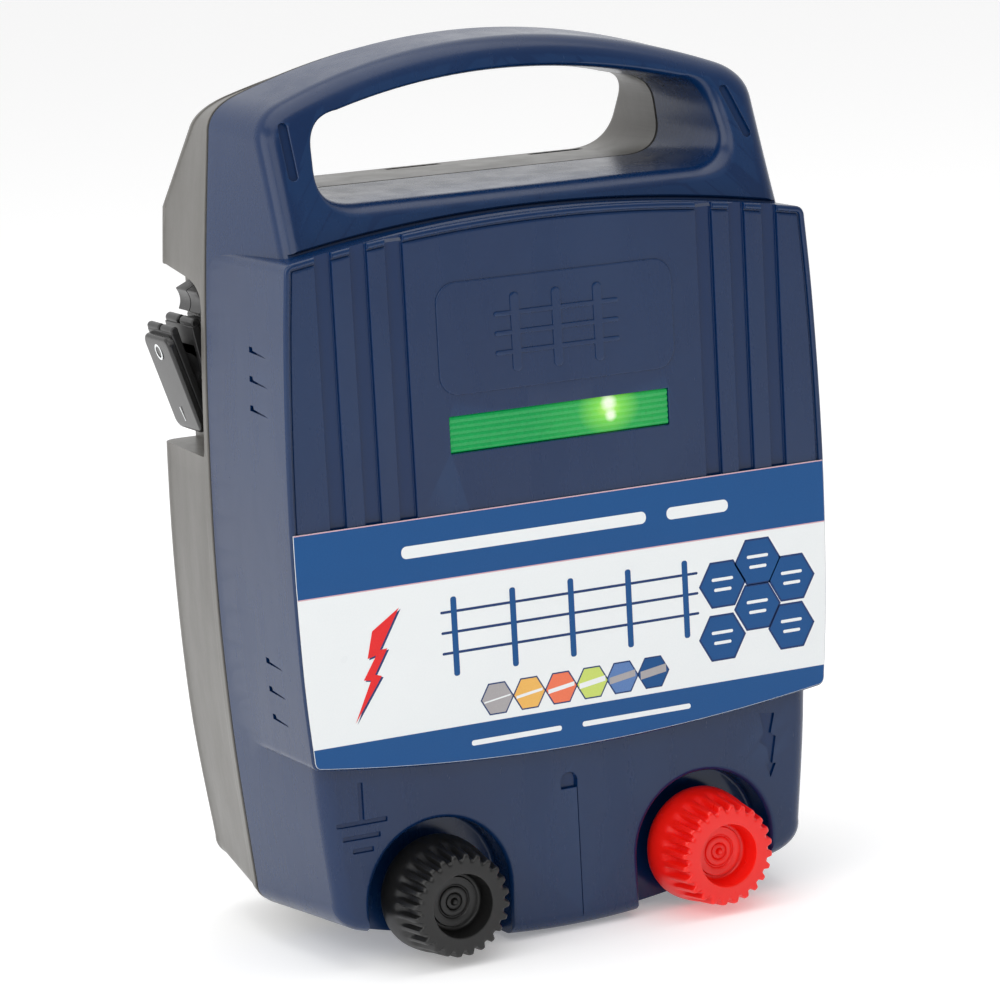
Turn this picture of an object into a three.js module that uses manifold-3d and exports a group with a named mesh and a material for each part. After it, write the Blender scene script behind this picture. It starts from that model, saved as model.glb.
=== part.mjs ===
// Electric fence energizer in a two-shell plastic case with a moulded carry handle.
// Frame: millimetres, +X to the right of a person facing it, front faces -Y, +Z up.
// The origin is the middle of the flat rear face, which hangs against a wall or post.

import * as THREE from 'three';
import { mergeVertices } from 'three/addons/utils/BufferGeometryUtils.js';
import Module from 'manifold-3d';

const wasm = await Module();
wasm.setup();

// ---------------------------------------------------------------- driving dimensions
const CASE_DEPTH = 112;                 // rear face to the raised panel's face
const PANEL_Y = -CASE_DEPTH;            // face of the raised panel
const BODY_Y = PANEL_Y + 4.5;           // face of the case above and below the panel
const SEAM_Y = -50;                     // joint between the front and rear shells
const SEAM_HALF = 0.75;                 // each shell stops this far from the joint's middle
const WALL = 2.6;                       // thickness of the mouldings
const CLEAR = 0.3;                      // gap kept between neighbouring pieces
const EDGE_R = 6;                       // rounding of the case's outer edges

const HANDLE_LEAN = 0.39;               // front face leans back this much per unit of height
const HANDLE_LEAN_Z = 100.5;            // height where the lean starts
const REAR_SLOPE = 0.81;                // rear face slopes forward this much per unit of height
const REAR_SLOPE_Z = 120;               // height where that slope starts

const EARTH_X = -52;                    // earth terminal's axis
const FENCE_X = 50;                     // fence terminal's axis
const TERMINALS = [EARTH_X, FENCE_X];
const TERMINAL_Z = -109;
const RECESS_R = 26.5;                  // arched recess round each terminal
const RECESS_FLOOR_Y = -95;

const KNOB_RIBS = 24;
const KNOB_RIB_H = 2;                   // height of the grip ribs at the rim
const KNOB_BACK_Y = -101.4;
const KNOB_FRONT_Y = -124;
const STUD_R = 4;                       // M8 terminal studs

const POCKET_X = -86;                   // inner wall of the switch pocket
const POCKET_Y = -45;                   // front wall of the pocket
const POCKET_LOW = 38.5;
const POCKET_TOP = [[30, 104.2], [-28, 98.4], [-45, 88]];   // [y, z] of its sloping top and front corner
const ROCKER_PIVOT = [-94.8, -23, 64.1];
const SWITCH_TILT = -0.148;             // whole switch leans out at the top, radians about Y
const ROCKER_TILT = -0.17;              // extra tilt of the rocker in its ON position

const HANDLE_SLOTS = [[-84.2, 143.8, 0], [83.6, 142.4, -0.3]];   // [x, z, turn] of the finger slots
const SCREWS = [[87, -72], [90, 18], [86, 110]];   // case screws, mirrored in X
const SCREW_SEAT_Y = -40;                          // bottom of the screws' counterbores
const WINDOW = { x: 41.3, low: 40.9, high: 53.4 }; // display window in the panel
const LAMP_X = [-30, -14, 2, 18.5, 34];            // row of lamps behind the window
const LAMP_Z = 49;
const KEYHOLE = { x: 50, z: 66 };                  // hanging holes in the rear face
const PLATE = { x: 44, low: -88, high: -34 };      // blank rating plate on the rear face

const MAIN_Y = -66;                     // front face of the main circuit board
const BOARD_T = 1.6;                    // thickness of both circuit boards
const BOARD_SCREWS = [[-64, -54], [64, -54], [-64, 24], [64, 24]];
const DISPLAY_Y = PANEL_Y + 12;         // front face of the display board
const DISPLAY_PEGS = [[-43, 37.2], [43, 37.2], [-43, 57], [43, 57]];

const SWITCH_TABS = [-5, 0, 5];         // heights of the switch's tabs beside its centre
const CONTACT_X = 12.4;                 // where the contact arm tips on the middle tab
const CONTACT_TILT = 0.0524;            // arm closed on the upper tab, radians about Y

// ---------------------------------------------------------------- materials
const plastic = (color, roughness) => new THREE.MeshStandardMaterial({ color, roughness, metalness: 0 });
const metal = (color, roughness) => new THREE.MeshStandardMaterial({ color, roughness, metalness: 1 });

const MATERIALS = {
  navy: plastic(0x1b3257, 0.35),
  grey: plastic(0x77746f, 0.5),
  rubberBlack: plastic(0x0c0c0d, 0.7),
  blackPlastic: plastic(0x151515, 0.45),
  redPlastic: plastic(0xe01510, 0.4),
  label: plastic(0xe9edf2, 0.35),
  lens: plastic(0x1fae4a, 0.2),
  lamp: plastic(0xd8ffd0, 0.2),
  board: plastic(0x1d5a34, 0.5),
  steel: metal(0xb8bcc2, 0.35),
  brass: metal(0xc79a4a, 0.35),
  copper: metal(0xa65a32, 0.4),
  aluminium: metal(0xc9ccd0, 0.4),
  ironCore: metal(0x55585c, 0.6),
  canBlue: plastic(0x1c3f9a, 0.35),
};

// ---------------------------------------------------------------- solids
function toSolid(geometry) {
  const bare = geometry.clone();
  bare.deleteAttribute('normal');
  bare.deleteAttribute('uv');
  const merged = mergeVertices(bare, 1e-4);
  const vertProperties = new Float32Array(merged.attributes.position.array);
  const corners = merged.index.array;
  const kept = [];
  for (let i = 0; i < corners.length; i += 3) {
    const [a, b, c] = [corners[i], corners[i + 1], corners[i + 2]];
    if (a !== b && b !== c && c !== a) kept.push(a, b, c);
  }
  const triVerts = new Uint32Array(kept);
  return new wasm.Manifold(new wasm.Mesh({ numProp: 3, vertProperties, triVerts }));
}

function toGeometry(solid) {
  const mesh = solid.getMesh();
  const geometry = new THREE.BufferGeometry();
  geometry.setAttribute('position', new THREE.BufferAttribute(new Float32Array(mesh.vertProperties), 3));
  geometry.setIndex(new THREE.BufferAttribute(new Uint32Array(mesh.triVerts), 1));
  const flat = geometry.toNonIndexed();
  flat.computeVertexNormals();
  return flat;
}

const join = (...solids) => solids.reduce((a, b) => a.add(b));
const cut = (body, ...tools) => tools.reduce((a, b) => a.subtract(b), body);

const boxAt = (x0, x1, y0, y1, z0, z1) => toSolid(
  new THREE.BoxGeometry(x1 - x0, y1 - y0, z1 - z0)
    .translate((x0 + x1) / 2, (y0 + y1) / 2, (z0 + z1) / 2));

// A shape drawn in (X, Z), standing from yFront back to yBack.
function prismGeometry(shape, yFront, yBack, curveSegments = 12) {
  const options = { depth: yBack - yFront, bevelEnabled: false, curveSegments };
  return new THREE.ExtrudeGeometry(shape, options).rotateX(Math.PI / 2).translate(0, yBack, 0);
}
const prism = (shape, yFront, yBack, segments) => toSolid(prismGeometry(shape, yFront, yBack, segments));

// A shape drawn in (Y, Z), standing from x0 to x1.
const prismX = (shape, x0, x1, curveSegments = 8) => toSolid(
  new THREE.ExtrudeGeometry(shape, { depth: x1 - x0, bevelEnabled: false, curveSegments })
    .rotateX(Math.PI / 2).rotateZ(Math.PI / 2).translate(x0, 0, 0));

// A round bar along Y.
const barY = (radius, yFront, yBack, x, z, sides = 24) => toSolid(
  new THREE.CylinderGeometry(radius, radius, yBack - yFront, sides).translate(x, (yFront + yBack) / 2, z));

// A profile of [radius, y] points turned round the Y axis through (x, z). It either starts
// and ends on the axis or closes on itself, and may run either way round.
function turned(profile, x, z, sides = 32) {
  const points = profile.map(([r, y]) => new THREE.Vector2(r, y));
  if (THREE.ShapeUtils.area(points) < 0) points.reverse();
  return toSolid(new THREE.LatheGeometry(points, sides).translate(x, 0, z));
}

function roundedShape(x0, x1, z0, z1, r) {
  const shape = new THREE.Shape();
  shape.moveTo(x0 + r, z0).lineTo(x1 - r, z0);
  shape.absarc(x1 - r, z0 + r, r, -Math.PI / 2, 0, false);
  shape.lineTo(x1, z1 - r);
  shape.absarc(x1 - r, z1 - r, r, 0, Math.PI / 2, false);
  shape.lineTo(x0 + r, z1);
  shape.absarc(x0 + r, z1 - r, r, Math.PI / 2, Math.PI, false);
  shape.lineTo(x0, z0 + r);
  shape.absarc(x0 + r, z0 + r, r, Math.PI, Math.PI * 1.5, false);
  return shape;
}

// Closed solid through rings of equal length, first ring at the front. Each ring runs
// anticlockwise seen from the front, and each end ring lies in one plane.
function loft(rings) {
  const count = rings[0].length;
  const positions = rings.flat().flatMap((p) => [p.x, p.y, p.z]);
  const index = [];
  for (let r = 0; r + 1 < rings.length; r += 1) {
    for (let i = 0; i < count; i += 1) {
      const next = (i + 1) % count;
      const [a, b] = [r * count + i, r * count + next];
      index.push(a, a + count, b + count, a, b + count, b);
    }
  }
  const flat = (ring) => ring.map((p) => new THREE.Vector2(p.x, p.z));
  const last = (rings.length - 1) * count;
  for (const [a, b, c] of THREE.ShapeUtils.triangulateShape(flat(rings[0]), [])) index.push(a, b, c);
  for (const [a, b, c] of THREE.ShapeUtils.triangulateShape(flat(rings[rings.length - 1]), [])) {
    index.push(last + a, last + c, last + b);
  }
  const geometry = new THREE.BufferGeometry();
  geometry.setAttribute('position', new THREE.Float32BufferAttribute(positions, 3));
  geometry.setIndex(index);
  return toSolid(geometry);
}

// ---------------------------------------------------------------- outlines
// Joins curves end to end, without repeating the shared points.
function chain(curves) {
  return curves.flatMap(([curve, steps]) => curve.getPoints(steps).slice(0, -1));
}

const V = (x, z) => new THREE.Vector2(x, z);
const bend = (a, b, c) => new THREE.QuadraticBezierCurve(a, b, c);

// The case's outline: convex bottom, drafted sides, rounded corners, arched top.
function caseOutline({ bottom, bottomX, bottomZ, sides, topX, topZ, top }) {
  const right = sides.map(([w, z]) => V(w, z));
  const left = sides.map(([w, z]) => V(-w, z)).reverse();
  const [first, last] = [right[0], right[right.length - 1]];
  return chain([
    [bend(V(-bottomX, bottomZ), V(0, 2 * bottom - bottomZ), V(bottomX, bottomZ)), 10],
    [bend(V(bottomX, bottomZ), V(first.x + 0.6, bottomZ + 3.5), first), 5],
    [new THREE.SplineCurve(right), 9],
    [bend(last, V(last.x, topZ - 4), V(topX, topZ)), 6],
    [bend(V(topX, topZ), V(0, 2 * top - topZ), V(-topX, topZ)), 14],
    [bend(V(-topX, topZ), V(-last.x, topZ - 4), V(-last.x, last.y)), 6],
    [new THREE.SplineCurve(left), 9],
    [bend(V(-first.x, first.y), V(-first.x - 0.6, bottomZ + 3.5), V(-bottomX, bottomZ)), 5],
  ]);
}

const FRONT_OUTLINE = caseOutline({
  bottom: -129.5, bottomX: 82, bottomZ: -117,
  sides: [[90.2, -106], [94.2, -64], [96.2, 0], [95.4, 60], [93.4, 112], [93, 146]],
  topX: 82, topZ: 159, top: 174,
});
const SEAM_OUTLINE = caseOutline({
  bottom: -130.5, bottomX: 84, bottomZ: -120,
  sides: [[95, -110], [100.2, -56], [102.6, 0], [101.6, 60], [99, 106], [95.2, 148]],
  topX: 84, topZ: 160.2, top: 175.4,
});
const REAR_OUTLINE = caseOutline({
  bottom: -124.5, bottomX: 78, bottomZ: -114.5,
  sides: [[90.6, -104], [96.8, -56], [99.4, 0], [98.4, 60], [95.7, 106], [92.4, 148]],
  topX: 82, topZ: 159, top: 174,
});

// Moves every point of an outline inwards.
function inset(points, distance) {
  const count = points.length;
  return points.map((p, i) => {
    const [before, after] = [points[(i + count - 1) % count], points[(i + 1) % count]];
    const along = after.clone().sub(before).normalize();
    return V(p.x - along.y * distance, p.y + along.x * distance);
  });
}

const ringAt = (points, y) => points.map(
  (p) => new THREE.Vector3(p.x, typeof y === 'function' ? y(p.y) : y, p.y));

// One half of a shell: from a face (flat or leaning, given by faceY) to the joint plane.
// The edge round the face is rounded; margin shrinks the whole half to make its hollow.
function shellHalf(faceOutline, jointOutline, faceY, jointY, margin, radius) {
  const sign = jointY(0) > faceY(0) ? 1 : -1;
  const steps = margin > 0 ? 1 : 4;
  const rings = [];
  for (let i = 0; i <= steps; i += 1) {
    const angle = (Math.PI / 2) * (i / steps);
    const shrink = margin + radius * (1 - Math.sin(angle));
    const deep = margin + radius * (1 - Math.cos(angle));
    rings.push(ringAt(inset(faceOutline, shrink), (z) => faceY(z) + sign * deep));
  }
  rings.push(ringAt(inset(jointOutline, margin), jointY));
  return loft(sign > 0 ? rings : rings.reverse());
}

const frontFlat = () => BODY_Y;
const frontLean = (z) => BODY_Y + HANDLE_LEAN * (z - HANDLE_LEAN_Z);
const rearFlat = () => 0;
const rearLean = (z) => -REAR_SLOPE * (z - REAR_SLOPE_Z);

const frontBody = (margin, radius, jointY) => shellHalf(
  FRONT_OUTLINE, SEAM_OUTLINE, frontFlat, () => jointY, margin, radius,
).intersect(shellHalf(FRONT_OUTLINE, SEAM_OUTLINE, frontLean, () => jointY, margin, radius));

const rearBody = (margin, radius, jointY) => shellHalf(
  REAR_OUTLINE, SEAM_OUTLINE, rearFlat, () => jointY, margin, radius,
).intersect(shellHalf(REAR_OUTLINE, SEAM_OUTLINE, rearLean, () => jointY, margin, radius));

// ---------------------------------------------------------------- raised front panel
const PANEL_TOP = { x: 93.4, z: 110.2, mid: 118.2 };
const PANEL_LOW = { x: 95, z: -58.3, mid: -65 };
const PANEL_SIDE = [[98.2, -54.5], [100.1, -28], [101.1, 10], [100.7, 45], [99.3, 80], [97.4, 106]];

function panelOutline(extra) {
  const right = PANEL_SIDE.map(([w, z]) => V(w + extra, z));
  const left = right.map((p) => V(-p.x, p.y)).reverse();
  const low = V(PANEL_LOW.x + extra, PANEL_LOW.z);
  const high = V(PANEL_TOP.x + extra, PANEL_TOP.z);
  return chain([
    [bend(V(-low.x, low.y), V(0, 2 * PANEL_LOW.mid - low.y), low), 10],
    [bend(low, V(right[0].x, low.y + 0.2), right[0]), 3],
    [new THREE.SplineCurve(right), 8],
    [bend(right[5], V(right[5].x, high.y - 0.2), high), 3],
    [bend(high, V(0, 2 * PANEL_TOP.mid - high.y), V(-high.x, high.y)), 10],
    [bend(V(-high.x, high.y), V(left[0].x, high.y - 0.2), left[0]), 3],
    [new THREE.SplineCurve(left), 8],
    [bend(left[5], V(left[5].x, low.y + 0.2), V(-low.x, low.y)), 3],
  ]);
}

function panelBlock() {
  const radius = 1.8;
  const outline = panelOutline(0);
  const rings = [];
  for (let i = 0; i <= 3; i += 1) {
    const angle = (Math.PI / 2) * (i / 3);
    const shrunk = inset(outline, radius * (1 - Math.sin(angle)));
    rings.push(ringAt(shrunk, PANEL_Y + radius * (1 - Math.cos(angle))));
  }
  rings.push(ringAt(panelOutline(1.2), SEAM_Y - SEAM_HALF));
  return loft(rings);
}

// Channel across the case just above the raised panel, open at both ends.
function panelTopGroove() {
  const arch = (end, mid) => bend(V(-end.x, end.y), V(0, 2 * mid - end.y), end);
  const [low, high] = [arch(V(105, 107.1), 117.2), arch(V(105, 109.2), 119.4)];
  const strip = [...low.getPoints(12), ...high.getPoints(12).reverse()];
  return loft([ringAt(strip, (z) => frontLean(z) - 4), ringAt(strip, (z) => frontLean(z) + 1.5)]);
}

// ---------------------------------------------------------------- handle opening
const FLARE_SHIFT = { x: 2.2, z: -1.5 };   // the front flare sits off the opening's middle

function openingOutline(grow, topGrow) {
  const [w0, w1] = [75.2 + grow, 74.5 + grow];
  const [low, top] = [126.4 - grow, 162.6 + topGrow];
  const corner = V(62 + grow, 154.6 + topGrow * 0.8);
  return chain([
    [new THREE.LineCurve(V(-62, low), V(62, low)), 1],
    [bend(V(62, low), V(w0 + 1.36, low), V(w0, 138)), 5],
    [new THREE.LineCurve(V(w0, 138), V(w1, 144)), 1],
    [bend(V(w1, 144), V(w1 - 1.1, corner.y - 1.2), corner), 5],
    [bend(corner, V(0, 2 * top - corner.y), V(-corner.x, corner.y)), 12],
    [bend(V(-corner.x, corner.y), V(-w1 + 1.1, corner.y - 1.2), V(-w1, 144)), 5],
    [new THREE.LineCurve(V(-w1, 144), V(-w0, 138)), 1],
    [bend(V(-w0, 138), V(-w0 - 1.36, low), V(-62, low)), 5],
  ]);
}

// The opening's space, flared and rounded at both faces. A margin leaves room for the
// moulded wall round it.
function openingSpace(margin) {
  const front = (deep) => (z) => frontLean(z) + deep;
  const rear = (deep) => (z) => Math.min(rearLean(z), 0) - deep;
  const ring = (grow, topGrow, y, share = 0) => {
    const moved = openingOutline(grow, topGrow).map(
      (p) => V(p.x + FLARE_SHIFT.x * share, p.y + FLARE_SHIFT.z * share));
    return ringAt(inset(moved, -margin), y);
  };
  const middle = [ring(0.9, 0.9, front(6), 0.2), ring(0, 0, () => SEAM_Y), ring(0.8, 0.3, rear(7))];
  if (margin > 0) return loft([ring(6, 5, front(-6), 1.6), ...middle, ring(6, 5, rear(-6))]);
  return loft([
    ring(9, 6, front(-6), 1), ring(4, 3.6, front(0), 1), ring(1.8, 2, front(2.2), 0.5),
    ...middle,
    ring(1.6, 0.8, rear(2.5)), ring(3.6, 2, rear(0)), ring(9, 5, rear(-6)),
  ]);
}

// ---------------------------------------------------------------- terminal recesses
function recessShape(x, grow) {
  const r = RECESS_R + grow;
  const shape = new THREE.Shape();
  shape.moveTo(x - r, -150).lineTo(x + r, -150).lineTo(x + r, TERMINAL_Z);
  shape.absarc(x, TERMINAL_Z, r, 0, Math.PI, false);
  return shape;
}

// ---------------------------------------------------------------- front shell
function earthSymbol() {
  const bar = (x0, x1, z) => boxAt(x0, x1, BODY_Y - 1, BODY_Y + 0.8, z - 0.8, z + 0.8);
  const stem = boxAt(-80.6, -78.8, BODY_Y - 1, BODY_Y + 0.8, -79, -65.5);
  return join(stem, bar(-89, -70.4, -79.2), bar(-87, -73.2, -84), bar(-83.6, -76, -88.6));
}

function boltSymbol() {
  const shape = new THREE.Shape([[73.6, -65.4], [75.1, -72.8], [73.1, -75.6], [76.3, -78.2],
    [76.7, -83.8], [75.5, -83.9], [77.2, -89], [79.5, -84.1], [78.1, -84], [79.9, -74.6],
    [77.9, -73.2], [79.7, -66.2]].map(([x, z]) => V(x, z)));
  return prism(shape, BODY_Y - 1, BODY_Y + 0.8);
}

function panelGrooves() {
  const grooves = [];
  for (const side of [-1, 1]) {
    for (const [outer, inner] of [[86.5, 80.5], [73.8, 67.7], [61.1, 54.8]]) {
      const [x0, x1] = side < 0 ? [-outer, -inner] : [inner, outer];
      grooves.push(boxAt(x0, x1, PANEL_Y - 1, PANEL_Y + 1.6, 20, 130));
    }
  }
  return grooves;
}

function handleSlots() {
  return HANDLE_SLOTS.map(([x, z, turn]) => {
    const shape = roundedShape(-1.9, 1.9, -10.2, 10.2, 1.8);
    const slot = new THREE.ExtrudeGeometry(shape, { depth: 6, bevelEnabled: false, curveSegments: 4 })
      .rotateX(Math.PI / 2).rotateX(-Math.atan(HANDLE_LEAN)).rotateY(turn)
      .translate(x, frontLean(z) + 1.1, z);
    return toSolid(slot);
  });
}

// Half width of the panel's side wall at a height, close to its face.
function sideAt(z) {
  const above = PANEL_SIDE.findIndex(([, height]) => height > z);
  const [[w0, z0], [w1, z1]] = [PANEL_SIDE[above - 1], PANEL_SIDE[above]];
  return w0 + (w1 - w0) * ((z - z0) / (z1 - z0));
}

// Short wedge-shaped finger marks in the sides, deepest at the back.
function sideLouvres() {
  const notches = [];
  for (const side of [-1, 1]) {
    for (const z of [79.8, 70.1, 60.4, -24.6, -34.4, -44]) {
      const x = sideAt(z);
      const corners = [[x + 5, -84.5], [x - 0.8, -84.5], [x + 0.3, -99], [x + 5, -99]];
      const shape = new THREE.Shape(corners.map(([w, y]) => V(side * w, y)));
      notches.push(toSolid(new THREE.ExtrudeGeometry(shape, { depth: 2.6, bevelEnabled: false })
        .translate(0, 0, z - 1.3)));
    }
  }
  return notches;
}

// Hollow posts that the case screws hold together.
const screwSpots = [-1, 1].flatMap((side) => SCREWS.map(([x, z]) => [side * x, z]));

function makeFrontShell() {
  const joint = SEAM_Y - SEAM_HALF;
  let body = join(cut(frontBody(0, EDGE_R, joint), panelTopGroove()), panelBlock());
  let hollow = frontBody(WALL, EDGE_R - WALL, joint + 1);
  const panelHollow = prism(
    roundedShape(-92, 92, -52, 104, 4), PANEL_Y + WALL + 1.6, BODY_Y + WALL + 2, 3);
  hollow = join(hollow, panelHollow);
  hollow = cut(hollow, openingSpace(WALL));
  for (const x of TERMINALS) {
    hollow = cut(hollow, prism(recessShape(x, WALL), BODY_Y - 2, RECESS_FLOOR_Y + WALL, 10));
  }
  for (const [x, z] of screwSpots) hollow = cut(hollow, barY(4.6, BODY_Y, SEAM_Y + 2, x, z, 16));
  body = cut(body, hollow, openingSpace(0));
  for (const x of TERMINALS) {
    body = cut(body, prism(recessShape(x, 0), PANEL_Y - 4, RECESS_FLOOR_Y, 16));
    body = cut(body, barY(6.6, RECESS_FLOOR_Y - 1, RECESS_FLOOR_Y + 8, x, TERMINAL_Z));
  }
  for (const [x, z] of screwSpots) body = cut(body, barY(1.9, SEAM_Y - 24, SEAM_Y + 2, x, z, 12));
  body = cut(body, earthSymbol(), boltSymbol(), ...panelGrooves(), ...handleSlots(), ...sideLouvres());
  body = cut(body, boxAt(-WINDOW.x, WINDOW.x, PANEL_Y - 2, PANEL_Y + 9, WINDOW.low, WINDOW.high));
  const dimple = barY(3.1, BODY_Y - 2, BODY_Y + 1.5, -1.8, -77.6, 16);
  body = cut(body, dimple, boxAt(-2.2, -1.4, BODY_Y - 2, BODY_Y + 0.7, -135, -77.6));
  const plate = prism(roundedShape(-44.2, 44.2, 60.4, 98, 7), PANEL_Y - 0.9, PANEL_Y + 1, 5);
  const pegs = DISPLAY_PEGS.flatMap(([x, z]) => [
    barY(2.6, PANEL_Y + WALL, DISPLAY_Y - CLEAR, x, z, 12),
    barY(1, DISPLAY_Y - 1, DISPLAY_Y + BOARD_T + 0.8, x, z, 12)]);
  return join(body, plate, ...pegs);
}

// ---------------------------------------------------------------- rear shell
function pocketShape(grow) {
  const low = POCKET_LOW - grow;
  const y = POCKET_Y - grow;
  const [[backY, backZ], [cornerY, cornerZ], [, sideZ]] = POCKET_TOP;
  const shape = new THREE.Shape();
  shape.moveTo(y + 3, low).lineTo(backY, low).lineTo(backY, backZ + grow).lineTo(cornerY, cornerZ + grow);
  shape.quadraticCurveTo(y, cornerZ + grow - 1.6, y, sideZ);
  shape.lineTo(y, low + 3);
  shape.quadraticCurveTo(y, low, y + 3, low);
  return shape;
}

function keyholeCuts(side) {
  const [x, z] = [side * KEYHOLE.x, KEYHOLE.z];
  const slot = boxAt(x - 2.6, x + 2.6, -4, 2, z, z + 9);
  const chamber = boxAt(x - 6, x + 6, -8, -WALL, z - 6, z + 14);
  return join(barY(5, -4, 2, x, z, 20), slot, barY(2.6, -4, 2, x, z + 9, 16), chamber);
}

function makeRearShell() {
  const joint = SEAM_Y + SEAM_HALF;
  let hollow = rearBody(WALL, EDGE_R - WALL, joint - 1);
  hollow = cut(hollow, openingSpace(WALL), prismX(pocketShape(WALL), -130, POCKET_X + WALL));
  for (const [x, z] of screwSpots) hollow = cut(hollow, barY(6.2, SEAM_Y - 2, 2, x, z, 16));
  for (const side of [-1, 1]) {
    const [x, z] = [side * KEYHOLE.x, KEYHOLE.z];
    hollow = cut(hollow, boxAt(x - 8, x + 8, -10, 2, z - 8, z + 16));
  }
  let body = cut(rearBody(0, EDGE_R, joint), hollow, openingSpace(0));
  body = cut(body, prismX(pocketShape(0), -130, POCKET_X));
  for (const [x, z] of screwSpots) {
    body = cut(body, barY(3.8, SCREW_SEAT_Y, 4, x, z, 16), barY(1.9, SEAM_Y - 2, SCREW_SEAT_Y + 1, x, z, 12));
  }
  const [px, , pz] = ROCKER_PIVOT;
  body = cut(body, boxAt(px, POCKET_X + 6, -35, -11, pz - 15, pz + 15), keyholeCuts(-1), keyholeCuts(1));
  body = cut(body, prism(roundedShape(-PLATE.x, PLATE.x, PLATE.low, PLATE.high, 3), -1, 2, 4));
  for (const x of [-2.5, 54]) body = cut(body, boxAt(x - 10.5, x + 10.5, -14.5, -10.5, 124.6, 140));
  const posts = BOARD_SCREWS.map(([x, z]) => cut(
    barY(4, MAIN_Y + BOARD_T + CLEAR, -1, x, z, 14), barY(1.8, MAIN_Y, MAIN_Y + 10, x, z, 12)));
  return join(body, ...posts);
}

// ---------------------------------------------------------------- seam gaskets
function makeCaseGasket() {
  const y0 = SEAM_Y - SEAM_HALF + CLEAR;
  const y1 = SEAM_Y + SEAM_HALF - CLEAR;
  const outer = loft([ringAt(inset(SEAM_OUTLINE, 0.3), y0), ringAt(inset(SEAM_OUTLINE, 0.3), y1)]);
  const inner = loft([ringAt(inset(SEAM_OUTLINE, WALL), y0 - 1), ringAt(inset(SEAM_OUTLINE, WALL), y1 + 1)]);
  return cut(outer, inner);
}

function makeHandleGasket() {
  const y0 = SEAM_Y - SEAM_HALF + CLEAR;
  const y1 = SEAM_Y + SEAM_HALF - CLEAR;
  const wide = inset(openingOutline(0, 0), -WALL);
  const tight = inset(openingOutline(0, 0), -0.3);
  const ring = loft([ringAt(wide, y0), ringAt(wide, y1)]);
  return cut(ring, loft([ringAt(tight, y0 - 1), ringAt(tight, y1 + 1)]));
}

// ---------------------------------------------------------------- label, lens and lamps
function makeLabel() {
  const margin = 0.4;
  const sheet = loft([ringAt(inset(panelOutline(0), margin), PANEL_Y - 0.8),
    ringAt(inset(panelOutline(0), margin), PANEL_Y - CLEAR)]);
  return sheet.intersect(boxAt(-120, 120, PANEL_Y - 2, PANEL_Y + 1, -80, 21.4));
}

function makeRatingPlate() {
  const { x, low, high } = PLATE;
  return prism(roundedShape(-x + CLEAR, x - CLEAR, low + CLEAR, high - CLEAR, 2.7), -0.7, -0.1, 4);
}

function makeDisplayLens() {
  const { x, low, high } = WINDOW;
  const [x0, x1, z0, z1] = [-x + CLEAR, x - CLEAR, low + CLEAR, high - CLEAR];
  const ribs = 6;
  const pitch = (z1 - z0) / ribs;
  const profile = new THREE.Shape();
  profile.moveTo(PANEL_Y + 3.6, z0).lineTo(PANEL_Y + 3.6, z1);
  for (let i = ribs; i > 0; i -= 1) {
    const top = z0 + pitch * i;
    profile.lineTo(PANEL_Y + 1.0, top);
    profile.lineTo(PANEL_Y + 0.5, top - pitch * 0.5);
  }
  profile.lineTo(PANEL_Y + 1.0, z0);
  profile.closePath();
  return prismX(profile, x0, x1);
}

function makeDisplayBoard() {
  const board = boxAt(-46, 46, DISPLAY_Y, DISPLAY_Y + BOARD_T, 34, 60);
  return cut(board, ...DISPLAY_PEGS.map(([x, z]) => barY(1.3, DISPLAY_Y - 1, DISPLAY_Y + 3, x, z, 12)));
}

function makeLamp(x) {
  const base = DISPLAY_Y - CLEAR;
  return turned([[0, base - 6.2], [1.3, base - 5.6], [2.2, base - 4], [2.2, base], [0, base]], x, LAMP_Z, 12);
}

// ---------------------------------------------------------------- power electronics
function makeMainBoard() {
  let board = boxAt(-70, 70, MAIN_Y, MAIN_Y + BOARD_T, -60, 30);
  for (const [x, z] of BOARD_SCREWS) board = cut(board, barY(1.9, MAIN_Y - 1, MAIN_Y + 3, x, z, 12));
  return board;
}

// A screw along Y with its head at the back (direction 1) or at the front (direction -1).
function makeScrew(x, z, seatY, direction, headR, headT, shankR, length) {
  const profile = [[0, seatY + direction * headT], [headR, seatY + direction * headT], [headR, seatY],
    [shankR, seatY], [shankR, seatY - direction * length], [0, seatY - direction * length]];
  const screw = turned(profile, x, z, 14);
  const y = seatY + direction * headT;
  const [y0, y1] = [Math.min(y, y - direction * 1.1), Math.max(y, y - direction * 1.1)];
  const [front, back] = direction < 0 ? [y0 - 0.2, y1] : [y0, y1 + 0.2];
  const slot = (w, h) => boxAt(x - w, x + w, front, back, z - h, z + h);
  return cut(screw, slot(headR * 0.62, 0.45), slot(0.45, headR * 0.62));
}

const makeCaseScrew = (x, z) => makeScrew(x, z, SCREW_SEAT_Y + CLEAR, 1, 3.2, 2.6, 1.5, 28);
const makeBoardScrew = (x, z) => makeScrew(x, z, MAIN_Y - CLEAR, -1, 2.8, 1.8, 1.5, 5);

function makePulseCore() {
  const frame = boxAt(10, 58, -58, -26, -52, -8);
  return cut(frame, boxAt(18, 28, -70, -10, -44, -16), boxAt(40, 50, -70, -10, -44, -16));
}

function makePulseCoil() {
  const ring = prism(roundedShape(18.3, 49.7, -43.7, -16.3, 1), -64.1, -20, 3);
  return cut(ring, boxAt(27.7, 40.3, -58 - CLEAR, -26 + CLEAR, -60, 0));
}

const makeCapacitor = () => turned([[0, -64], [15, -64], [16, -63], [16, -19], [15, -18], [0, -18]],
  -36, -30, 28);

function makeSupplyTransformer() {
  const core = boxAt(-34, 0, -62, -34, -2, 26);
  return join(core, boxAt(-28, -6, -64, -30, 2, 22));
}

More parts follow.
